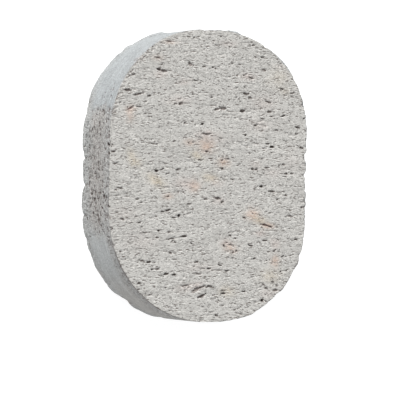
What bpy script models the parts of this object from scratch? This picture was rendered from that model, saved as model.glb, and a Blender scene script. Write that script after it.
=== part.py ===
"""Pumice stone: an oblong bath stone, sawn flat on two faces and ground round at both ends.

It is one solid, and it lies on its back face. X runs across its width, which is also the way the
gas bubbles were drawn out, Y runs along its length, and Z goes up through its thickness. The
origin is at the middle of the back face. Sizes here are in millimetres, and MM turns them into
the mesh's metres.
"""
import math
import random

import bmesh
import bpy
from mathutils import Matrix, Vector

MM = 0.001

# The slab
LENGTH = 96.0
WIDTH = 68.4
THICKNESS = 28.0
# Radii of the four elliptical corner arcs, across and along, anticlockwise from +X +Y
CORNERS = ((31.6, 31.8), (31.3, 34.8), (33.5, 36.7), (31.1, 32.3))
ARC_STEPS = 20

# Open bubbles in the front face, as x, y, length, height, tilt in degrees, and depth
FRONT_PITS = (
    # Upper left
    (-17.6, 34.6, 1.7, 0.8, -12, 1.3), (-15.9, 34.1, 2.6, 0.8, -8, 1.1),
    (-28.2, 27.6, 2.9, 0.8, -2, 1.3), (-24.2, 26.4, 3.8, 0.6, 15, 1.2),
    (-20.8, 25.9, 1.4, 0.6, 5, 1.0), (-26.2, 32.7, 1.8, 0.6, 12, 0.9),
    (-16.6, 36.2, 1.1, 0.5, 8, 0.8), (-17.9, 38.3, 1.7, 0.6, -12, 0.8),
    (-6.9, 36.6, 1.6, 1.2, -25, 0.9), (-1.9, 35.9, 1.8, 0.5, 8, 0.8),
    (-4.5, 31.2, 1.9, 0.5, -8, 0.8), (-9.8, 23.6, 1.7, 0.8, 18, 1.1),
    (-27.0, 21.8, 2.4, 0.7, 25, 0.8), (-24.5, 22.2, 2.3, 0.5, 3, 0.8),
    (-21.9, 20.0, 1.5, 0.5, 8, 0.8), (-8.3, 17.2, 1.0, 0.6, 10, 0.9),
    (-2.1, 17.1, 1.0, 0.7, 10, 1.2), (-14.0, 43.8, 3.6, 0.5, -3, 0.8),
    # Upper right
    (5.1, 22.4, 2.4, 1.0, -5, 1.3), (2.8, 22.0, 2.4, 0.6, 18, 1.0),
    (11.7, 21.7, 1.9, 0.9, -8, 1.6), (12.9, 27.3, 2.6, 0.6, -6, 1.4),
    (14.3, 26.1, 1.8, 0.7, -18, 1.0), (21.1, 21.5, 1.4, 0.9, -5, 0.9),
    (20.6, 24.8, 2.4, 0.6, -14, 1.0), (26.2, 20.3, 1.4, 0.6, 16, 1.3),
    (22.1, 20.1, 2.4, 0.4, 3, 0.8), (19.0, 19.2, 1.6, 0.5, -15, 0.8),
    (16.6, 17.0, 1.6, 0.6, 15, 1.0), (31.2, 16.6, 1.7, 0.5, -8, 1.0),
    (18.5, 39.5, 1.6, 0.5, 3, 1.0), (16.2, 39.4, 1.2, 0.4, 0, 0.8),
    (18.9, 35.3, 2.3, 0.6, -15, 0.9), (1.2, 35.8, 1.1, 0.6, 15, 1.0),
    (8.0, 37.1, 1.0, 0.6, 5, 0.8), (12.1, 33.4, 0.8, 0.6, 10, 0.8),
    (14.5, 32.6, 2.0, 0.6, -12, 0.8), (25.5, 29.2, 1.6, 0.6, -6, 1.0),
    (29.4, 28.0, 1.8, 0.5, 10, 0.9), (15.3, 43.4, 1.1, 0.6, 0, 0.8),
    (3.7, 46.0, 0.9, 0.6, 0, 0.8), (0.9, 25.9, 1.0, 0.7, 0, 0.8),
    # Middle left
    (-33.4, 9.4, 1.2, 0.9, -20, 1.3), (-32.9, 7.4, 1.8, 0.7, 0, 1.1),
    (-32.0, 3.6, 1.9, 0.5, 8, 0.8), (-17.6, 1.3, 1.3, 0.8, 0, 1.8),
    (-16.0, 1.9, 1.6, 0.6, 30, 0.9), (-10.5, 2.0, 2.0, 0.6, 4, 1.0),
    (-14.0, 0.5, 1.4, 0.5, 20, 0.9), (-14.7, 3.8, 1.5, 0.4, 0, 0.8),
    (-0.7, 13.9, 4.0, 0.5, -1, 1.4), (-19.2, 10.2, 1.6, 0.5, -3, 0.8),
    (-0.5, 8.1, 1.1, 0.6, 0, 1.0), (-2.7, 5.2, 1.5, 0.5, -15, 0.9),
    (-30.4, -4.5, 2.0, 0.6, -8, 0.9), (-24.3, -7.9, 1.4, 0.6, -3, 1.1),
    (-13.7, -6.9, 1.2, 0.5, 0, 0.9), (-0.8, -7.6, 1.8, 0.6, -5, 1.0),
    (-6.4, -9.3, 2.1, 0.5, -3, 0.9), (-13.5, -11.5, 2.2, 0.6, 14, 1.2),
    (-15.4, -11.9, 1.6, 0.5, 8, 1.0), (-9.8, -13.1, 1.1, 0.8, 0, 1.6),
    (-11.6, -13.8, 1.6, 0.5, 5, 0.9), (-31.4, -12.3, 1.6, 0.5, 5, 0.9),
    (-29.2, -14.6, 1.6, 0.6, -25, 0.9), (-23.4, -15.5, 1.4, 0.6, 15, 1.1),
    # Middle right
    (12.9, 13.8, 0.9, 0.7, 0, 1.2), (22.4, 10.0, 1.5, 0.7, 0, 1.8),
    (20.8, 10.9, 1.4, 0.6, 10, 0.9), (32.6, 9.9, 1.2, 0.6, -10, 1.2),
    (24.0, 15.6, 1.3, 0.6, -5, 0.9), (30.9, 14.6, 1.6, 0.5, 0, 0.8),
    (14.4, 7.8, 1.0, 0.6, -20, 0.8), (5.1, 2.6, 1.1, 0.7, 0, 1.2),
    (5.4, 5.5, 2.4, 0.7, -5, 0.8), (15.6, 2.6, 1.0, 0.7, 0, 1.1),
    (16.9, 2.5, 1.3, 0.6, 15, 1.0), (20.6, 3.1, 1.9, 0.6, 5, 0.9),
    (26.1, 4.1, 2.4, 0.6, 3, 0.9), (27.5, 1.2, 1.2, 0.6, 0, 1.0),
    (29.4, 1.3, 1.4, 0.5, -8, 0.9), (8.5, -1.0, 1.6, 0.5, -10, 0.8),
    (18.8, -3.1, 1.3, 0.8, 0, 1.6), (22.3, -4.7, 2.3, 0.6, -3, 1.3),
    (27.5, -5.9, 1.2, 0.5, 0, 1.0), (3.7, -7.3, 2.0, 0.9, -5, 1.1),
    (5.2, -8.5, 1.3, 0.7, 20, 1.0), (24.6, -7.3, 1.0, 0.5, 0, 0.8),
    (29.0, -12.7, 3.0, 0.6, -3, 0.8), (13.0, -13.5, 1.2, 0.7, -20, 0.9),
    (20.3, -15.8, 2.6, 0.6, -6, 1.3), (21.9, -16.3, 1.7, 0.6, -20, 1.1),
    # Lower left
    (-33.2, -17.6, 1.8, 0.6, -20, 0.9), (-16.9, -18.2, 1.1, 0.6, 0, 1.1),
    (-13.1, -18.6, 1.1, 0.5, 0, 0.9), (-7.9, -19.9, 2.0, 0.8, 8, 1.3),
    (-17.2, -20.4, 1.2, 0.5, 0, 1.1), (-12.6, -21.0, 2.6, 0.7, 10, 1.1),
    (-5.4, -22.2, 1.2, 0.6, -20, 1.0), (-12.8, -25.3, 1.6, 0.6, -15, 0.8),
    (-3.6, -28.3, 1.7, 0.6, 8, 1.1), (-10.7, -27.5, 1.7, 0.5, 5, 0.8),
    (-20.0, -28.4, 1.7, 0.7, 8, 1.5), (-22.4, -28.0, 2.2, 0.7, -14, 0.9),
    (-18.7, -30.8, 1.3, 0.6, 5, 1.0), (-17.1, -30.7, 1.2, 0.7, 35, 1.0),
    (-13.8, -32.3, 1.8, 0.7, 10, 1.6), (-11.2, -32.5, 1.6, 0.7, 8, 1.5),
    (-23.2, -35.4, 1.3, 0.6, 5, 1.2), (-7.4, -36.0, 3.2, 0.6, 8, 0.9),
    (-2.3, -37.0, 4.8, 0.9, 17, 1.4), (-1.4, -39.4, 2.9, 1.0, 24, 1.5),
    (-2.6, -32.2, 2.6, 0.5, -3, 0.8), (-20.4, -39.1, 2.4, 0.4, -5, 0.8),
    # Lower right
    (8.1, -19.4, 1.0, 0.6, 0, 0.8), (6.2, -22.9, 1.5, 0.6, -45, 1.2),
    (8.5, -22.6, 1.9, 0.6, -10, 0.8), (9.2, -25.0, 0.8, 0.7, 0, 1.0),
    (15.3, -22.7, 2.0, 0.5, -8, 1.1), (20.4, -20.9, 1.9, 0.5, 5, 1.4),
    (31.3, -20.4, 1.4, 0.5, 0, 1.1), (23.7, -24.3, 1.6, 0.6, 35, 1.0),
    (21.8, -24.6, 1.4, 0.5, 5, 0.9), (26.8, -26.1, 1.4, 0.7, 35, 1.0),
    (16.8, -27.0, 1.1, 0.6, -8, 1.2), (4.6, -29.2, 1.6, 0.5, -15, 0.8),
    (0.5, -30.4, 2.4, 0.5, 0, 1.0), (3.2, -31.0, 3.2, 0.5, 0, 1.0),
    (7.1, -31.0, 2.0, 0.6, 4, 1.2), (26.0, -31.2, 1.1, 0.6, -20, 0.9),
    (23.3, -34.6, 1.2, 0.6, -10, 1.0), (19.9, -35.4, 2.4, 0.5, -35, 0.8),
    (20.8, -36.7, 1.7, 0.5, -5, 0.9), (24.6, -37.4, 2.2, 0.9, -5, 0.9),
    (1.7, -36.4, 2.4, 0.8, -15, 1.2), (13.1, -37.8, 1.6, 0.5, 0, 1.0),
    (6.0, -38.5, 2.0, 0.8, -5, 1.2), (19.8, -40.7, 1.3, 1.0, 0, 1.8),
    (2.6, -40.2, 2.2, 0.5, 3, 0.9), (10.9, -43.5, 3.2, 0.5, 14, 0.8),
    (3.8, -45.8, 1.9, 0.6, -15, 1.0), (12.0, -45.3, 3.4, 0.5, -8, 0.8),
)

# Chips broken out of the two rims, as x, y and size, where the rim's crust crumbled
FRONT_CHIPS = (
    (34.2, 6.9, 1.6), (34.2, 0.6, 1.0), (34.1, -9.6, 1.0), (32.9, 24.1, 1.1), (19.9, 43.0, 0.9),
    (10.2, 47.4, 1.3), (31.4, -29.6, 1.2), (22.2, -42.0, 1.2), (15.0, -46.1, 0.9),
    (-34.4, 10.4, 1.4), (-33.6, -14.0, 1.3), (-33.9, -18.6, 1.2), (-32.4, 25.9, 1.3),
    (-31.2, 28.8, 1.1), (-25.6, 37.2, 1.5), (-23.6, 39.4, 1.2), (-30.2, -32.6, 1.0),
)
BACK_CHIPS = (
    (-34.5, 5.9, 1.1), (-34.4, -3.3, 1.2), (-34.2, -12.2, 1.4), (-32.8, -21.2, 1.1),
    (-15.9, -44.5, 1.9), (-8.2, -47.5, 1.1), (-27.4, 33.8, 1.2), (33.8, 14.0, 1.5),
    (33.6, -16.0, 1.3), (24.0, 40.2, 1.4), (18.5, -44.4, 1.5), (4.0, 48.2, 1.2),
)
CHIP_FLATNESS = 0.6

# Open bubbles on the back face and round the wall, laid out at random from a fixed seed
SEED = 7
BACK_PITS = 52
WALL_PITS = 56
PIT_LENGTH = (1.0, 3.6)
PIT_HEIGHT = (0.5, 1.0)
PIT_DEPTH = (0.7, 1.5)
PIT_TILT = 18.0
PIT_SPACING = 2.6
RIM_MARGIN = 2.5
# The middle of the back face stays whole, as a flat place to rest on
REST_RADIUS = 6.0

# A bubble's cutter: its middle stands proud of the surface by this part of its depth. A large
# bubble is a coarse ellipsoid, and a small one is the same with no rings but its middle one.
CUTTER_SIDES = 8
LARGE_RINGS = 4
SMALL_RINGS = 2
LARGE_PIT = 1.7
CUTTER_PROUD = 0.2
CUTTER_ROUGHNESS = 0.12

STONE_COLOUR = (0.515, 0.497, 0.462, 1.0)
STONE_ROUGHNESS = 0.95


def clear_scene():
    """Remove every object, so that the script always starts from nothing."""
    for thing in list(bpy.data.objects):
        bpy.data.objects.remove(thing, do_unlink=True)


def new_collection(name):
    """A new collection in the scene."""
    collection = bpy.data.collections.new(name)
    bpy.context.scene.collection.children.link(collection)
    return collection


def stone_material():
    """Light grey, quite matt pumice."""
    material = bpy.data.materials.new("pumice")
    material.use_nodes = True
    shader = material.node_tree.nodes["Principled BSDF"]
    shader.inputs["Base Color"].default_value = STONE_COLOUR
    shader.inputs["Roughness"].default_value = STONE_ROUGHNESS
    shader.inputs["Metallic"].default_value = 0.0
    material.diffuse_color = STONE_COLOUR
    return material


def outline():
    """The slab's outline as x, y points, anticlockwise, from its four corner arcs."""
    points = []
    for corner, (across, along) in enumerate(CORNERS):
        side = 1 if corner in (0, 3) else -1
        end = 1 if corner in (0, 1) else -1
        middle_x = side * (WIDTH / 2 - across)
        middle_y = end * (LENGTH / 2 - along)
        for step in range(ARC_STEPS + 1):
            angle = math.pi / 2 * (corner + step / ARC_STEPS)
            points.append((middle_x + across * math.cos(angle), middle_y + along * math.sin(angle)))
    return points


def slab(collection):
    """The whole slab: its outline filled and raised to its thickness, as one closed mesh."""
    curve = bpy.data.curves.new("outline", "CURVE")
    curve.dimensions = "2D"
    curve.fill_mode = "BOTH"
    curve.extrude = THICKNESS / 2 * MM
    spline = curve.splines.new("POLY")
    points = outline()
    spline.points.add(len(points) - 1)
    for point, (x, y) in zip(spline.points, points):
        point.co = (x * MM, y * MM, 0.0, 1.0)
    spline.use_cyclic_u = True
    drawn = bpy.data.objects.new("outline", curve)
    drawn.location.z = THICKNESS / 2 * MM
    collection.objects.link(drawn)
    bpy.context.view_layer.update()

    evaluated = drawn.evaluated_get(bpy.context.evaluated_depsgraph_get())
    mesh = bpy.data.meshes.new_from_object(evaluated)
    stone = bpy.data.objects.new("pumice_stone", mesh)
    stone.matrix_world = drawn.matrix_world
    collection.objects.link(stone)
    bpy.data.objects.remove(drawn, do_unlink=True)

    shape = bmesh.new()
    shape.from_mesh(mesh)
    bmesh.ops.remove_doubles(shape, verts=shape.verts, dist=0.001 * MM)
    bmesh.ops.recalc_face_normals(shape, faces=shape.faces)
    shape.to_mesh(mesh)
    shape.free()
    return stone


def add_bubble(shape, draw, middle, size, turn, into, chip=False):
    """Add one bubble to a cutter mesh.

    size is the length and height of its mouth and its depth. It opens at middle, into is the way
    into the stone, and turn is the tilt about that way, in degrees. A chip has the large form.
    """
    length, height, depth = size
    large = chip or length * depth > LARGE_PIT
    # At the surface, the large form is nearly as wide as at its middle, and the small one less
    mouth = 1.0 if large else 1 - CUTTER_PROUD
    reach = depth / (1 - CUTTER_PROUD)
    way = Vector(into).normalized()
    if abs(way.z) > 0.5:
        along = Vector((1, 0, 0))
    else:
        along = Vector((-way.y, way.x, 0)).normalized()
    across = way.cross(along)
    frame = Matrix((along, across, way)).transposed().to_4x4()
    tilt = Matrix.Rotation(math.radians(turn), 4, "Z")
    scale = Matrix.Diagonal((length / 2 / mouth * MM, height / 2 / mouth * MM, reach * MM, 1.0))
    start = Vector(middle) * MM - way * reach * CUTTER_PROUD * MM
    rings = LARGE_RINGS if large else SMALL_RINGS
    made = bmesh.ops.create_uvsphere(shape, u_segments=CUTTER_SIDES, v_segments=rings, radius=1.0)
    for vertex in made["verts"]:
        vertex.co *= 1 + draw.uniform(-CUTTER_ROUGHNESS, CUTTER_ROUGHNESS)
    bmesh.ops.transform(shape, matrix=Matrix.Translation(start) @ frame @ tilt @ scale, verts=made["verts"])


def cutter_object(name, shape, collection):
    """Turn a cutter mesh into a hidden object in the cutters' collection."""
    mesh = bpy.data.meshes.new(name)
    shape.to_mesh(mesh)
    shape.free()
    cutter = bpy.data.objects.new(name, mesh)
    cutter.hide_render = True
    cutter.display_type = "WIRE"
    collection.objects.link(cutter)
    return cutter


def front_pit_cutter(collection, draw):
    """The large bubbles of the front face, each where the stone has it."""
    shape = bmesh.new()
    for x, y, length, height, tilt, depth in FRONT_PITS:
        # The cutter looks down into the face, which mirrors its tilt
        add_bubble(shape, draw, (x, y, THICKNESS), (length, height, depth), -tilt, (0, 0, -1))
    return cutter_object("front_pits", shape, collection)


def random_size(draw):
    """The length, height and depth of a random bubble."""
    length = draw.uniform(*PIT_LENGTH) * draw.uniform(0.6, 1.0)
    height = min(draw.uniform(*PIT_HEIGHT), length)
    return length, height, draw.uniform(*PIT_DEPTH)


def inside_outline(x, y, margin):
    """Whether a point is inside the slab's outline by at least a margin."""
    points = outline()
    for (x1, y1), (x2, y2) in zip(points, points[1:] + points[:1]):
        edge = math.hypot(x2 - x1, y2 - y1)
        if edge > 0 and ((x2 - x1) * (y - y1) - (y2 - y1) * (x - x1)) / edge < margin:
            return False
    return True


def back_pit_cutter(collection, draw):
    """Random bubbles on the back face, clear of each other, of the rim and of the rest place."""
    shape = bmesh.new()
    placed = []
    while len(placed) < BACK_PITS:
        x = draw.uniform(-WIDTH / 2, WIDTH / 2)
        y = draw.uniform(-LENGTH / 2, LENGTH / 2)
        crowded = any(math.hypot(x - px, y - py) < PIT_SPACING for px, py in placed)
        if crowded or math.hypot(x, y) < REST_RADIUS or not inside_outline(x, y, RIM_MARGIN):
            continue
        placed.append((x, y))
        tilt = draw.uniform(-PIT_TILT, PIT_TILT)
        add_bubble(shape, draw, (x, y, 0), random_size(draw), tilt, (0, 0, 1))
    return cutter_object("back_pits", shape, collection)


def wall_place(distance):
    """The point on the outline at a distance along it, and the way into the stone there."""
    points = outline()
    for (x1, y1), (x2, y2) in zip(points, points[1:] + points[:1]):
        edge = math.hypot(x2 - x1, y2 - y1)
        if distance < edge:
            part = distance / edge
            return (x1 + (x2 - x1) * part, y1 + (y2 - y1) * part), (-(y2 - y1) / edge, (x2 - x1) / edge)
        distance -= edge
    return points[0], (-1.0, 0.0)


def wall_pit_cutter(collection, draw):
    """Random bubbles round the wall: round on the sides, drawn out along X on the two ends."""
    points = outline()
    around = sum(math.dist(a, b) for a, b in zip(points, points[1:] + points[:1]))
    shape = bmesh.new()
    placed = []
    while len(placed) < WALL_PITS:
        distance = draw.uniform(0, around)
        z = draw.uniform(RIM_MARGIN, THICKNESS - RIM_MARGIN)
        if any(math.hypot(distance - pd, z - pz) < PIT_SPACING for pd, pz in placed):
            continue
        placed.append((distance, z))
        (x, y), (way_x, way_y) = wall_place(distance)
        length, height, depth = random_size(draw)
        # Seen end on, on the two sides, a long bubble is only as wide as it is high
        width = height + (length - height) * abs(way_y)
        turn = draw.uniform(-PIT_TILT, PIT_TILT)
        add_bubble(shape, draw, (x, y, z), (width, height, depth), turn, (way_x, way_y, 0))
    return cutter_object("wall_pits", shape, collection)


def chip_cutter(collection, draw):
    """Small chips out of the front and back rims, each a coarse ball on the rim."""
    shape = bmesh.new()
    for chips, z in ((FRONT_CHIPS, THICKNESS), (BACK_CHIPS, 0.0)):
        for x, y, size in chips:
            into = (0, 0, 1 if z == 0 else -1)
            depth = size * CHIP_FLATNESS
            add_bubble(shape, draw, (x, y, z), (size, size, depth), draw.uniform(0, 90), into, True)
    return cutter_object("rim_chips", shape, collection)


def cut(stone, cutter):
    """Cut one cutter's shapes out of the stone."""
    modifier = stone.modifiers.new(cutter.name, "BOOLEAN")
    modifier.operation = "DIFFERENCE"
    modifier.solver = "EXACT"
    modifier.use_self = True
    modifier.object = cutter


def main():
    """Build the stone."""
    clear_scene()
    parts = new_collection("pumice stone")
    cutters = new_collection("cutters")
    draw = random.Random(SEED)
    stone = slab(parts)
    stone.data.materials.clear()
    stone.data.materials.append(stone_material())
    cut(stone, front_pit_cutter(cutters, draw))
    cut(stone, back_pit_cutter(cutters, draw))
    cut(stone, wall_pit_cutter(cutters, draw))
    cut(stone, chip_cutter(cutters, draw))


main()
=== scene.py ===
"""Pumice stone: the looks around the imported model, with its camera, floor and lights.

The stone lies on its back face. X runs across its width, the way its bubbles were drawn out, Y
along its length, and Z up through its thickness. Its shape is worked out in millimetres, and its
finished mesh is in metres, in the frame's own place.
"""
import math
import random
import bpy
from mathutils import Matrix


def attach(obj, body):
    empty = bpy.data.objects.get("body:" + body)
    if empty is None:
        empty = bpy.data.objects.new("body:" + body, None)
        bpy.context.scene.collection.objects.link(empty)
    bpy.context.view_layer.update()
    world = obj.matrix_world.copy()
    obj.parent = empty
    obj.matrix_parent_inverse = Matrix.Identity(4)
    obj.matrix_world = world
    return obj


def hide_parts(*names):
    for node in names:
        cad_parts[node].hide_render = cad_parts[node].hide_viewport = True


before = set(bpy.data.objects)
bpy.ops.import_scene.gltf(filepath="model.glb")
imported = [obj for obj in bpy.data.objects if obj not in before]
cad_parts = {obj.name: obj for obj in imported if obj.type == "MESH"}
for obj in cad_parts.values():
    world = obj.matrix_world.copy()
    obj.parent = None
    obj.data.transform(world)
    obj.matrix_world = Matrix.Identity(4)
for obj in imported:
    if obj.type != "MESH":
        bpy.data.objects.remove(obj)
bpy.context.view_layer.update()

from types import SimpleNamespace

import bmesh
import bpy
import numpy as np
from mathutils import Matrix, Vector, kdtree, noise

MM = 0.001

# The slab, as in the solid that this mesh stands for
LENGTH = 96.0
WIDTH = 68.4
THICKNESS = 28.0
# Radii of the four elliptical corner arcs, across and along, anticlockwise from +X +Y
CORNERS = ((31.6, 31.8), (31.3, 34.8), (33.5, 36.7), (31.1, 32.3))
ARC_STEPS = 90

# The camera: a distant one, a little to the stone's -X side
VIEW_DISTANCE = 1200.0
VIEW_ASIDE = 19.4
VIEW_RISE = -0.5
VIEW_ROLL = 0.9
IMAGE_PIXELS = 400
PIXELS_PER_MM = 3.012
# Where the stone's middle stands in the image, in pixels right of and above the image's middle
MIDDLE_RIGHT_PX = -6.0
MIDDLE_ABOVE_PX = 23.8
SENSOR_MM = 36.0
NEAREST_SEEN_M = 0.05
FARTHEST_SEEN_M = 50.0

# Light
SKY_COLOUR = (0.97, 0.985, 1.0)
SKY_STRENGTH = 0.62
SUN_FROM = (-0.30, 0.67, 0.68)
SUN_STRENGTH = 3.8
SUN_ANGLE = 24.0
SUN_COLOUR = (1.0, 0.985, 0.96)
FLOOR_COLOUR = (0.30, 0.30, 0.30)
FLOOR_ROUGHNESS = 0.9
FLOOR_GLOW = 0.85
FLOOR_SIZE_M = 3.0

# The mesh: its fineness before thinning, then how many triangles each part of it keeps
SEED = 11
VOXEL = 0.22
FRONT_TRIANGLES = 96000
SIDE_TRIANGLES = 44000
REST_TRIANGLES = 58000
# The front part is above this height, and the side part is the wall on the seen -X side
FRONT_FROM = THICKNESS - 2.5
SIDE_UP_TO = -12.0
SIDE_ABOVE = 0.6
# The outline's points stand this far apart where the nearest one to a place is looked for, and a
# place farther than NEAR_WALL from them counts as FAR_FROM_WALL
EVEN_STEP = 0.15
NEAR_WALL = 6.0
FAR_FROM_WALL = 9.0
# The mesh's points are kept in cells of this size, with room for this many cells along each axis
CELL = 2.0
CELL_KEYS = 4096
# The gap between the parts of the flat map
UV_GAP = 1.5

# No bubble goes deeper than this
DEEPEST = 2.2
# Half the height, and the depth, of the thinnest and shallowest bubble that the mesh can show
THINNEST = 0.20
SHALLOWEST = 0.50
# An ellipsoid's half size as a share of the measured length or height of its mouth
MOUTH_HALF = 0.54
# A bubble longer than 2 mm is less deep than its listed depth, by a share for each millimetre
DEPTH_START = 1.2
DEPTH_LESS_PER_MM = 0.1
# How far edges wander: the bubble's height times the share, up to the most
RAGGED_SHARE = 0.42
RAGGED_MOST = 0.26
# Bubbles longer than this have a shallow, frayed edge of torn cells round them
TORN_FROM = 2.2
TORN_LENGTH = 0.72
TORN_HEIGHT = 1.7
TORN_DEPTH = 0.32
TORN_RAGGED = 0.5
# How far the side's tubes run in
SIDE_TUBE_DEPTH = 1.5
# A chip's half sizes as shares of its size
CHIP_SHARES = (0.55, 0.7, 0.6)

# Small random bubbles: for each crowd on a flat face its count, the face's height and their scale
FACE_CROWDS = ((60, THICKNESS, 0.9), (130, 0.0, 2.2), (1200, 0.0, 1.1))
WALL_CROWD = 1700
# Toward the foot end the wall's bubbles are smaller
FOOT_FROM = -22
FOOT_SCALE = 0.6
# Crumbs lost along each rim, with the height of the rim and its biggest crumb
CRUMBS = 200
CRUMBLED_RIMS = ((THICKNESS, 0.4), (0.0, 0.6))
# Open cells inside the front rim, above the smooth upper corner of the -X side
RIM_CELLS = 70
RIM_CELLS_X_UP_TO = -14
RIM_CELLS_Y = (19, 43)

# The wall is ground smooth from this far along it, toward the head and toward the foot
SMOOTH_FROM_HEAD = 19.0
SMOOTH_FROM_FOOT = 16.5
# How far that edge wavers, and how wide it fades, on the -X side and on the +X side
SMOOTH_EDGES = ((4.0, 5.5), (9.0, 10.0))
# Below the front rim, toward the foot, a band stays open, and widens to the foot end
OPEN_BAND = 4.2
OPEN_BAND_FROM = -15
OPEN_BAND_WIDENS_FROM = -20.0
OPEN_BAND_WIDENS = 0.2

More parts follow.
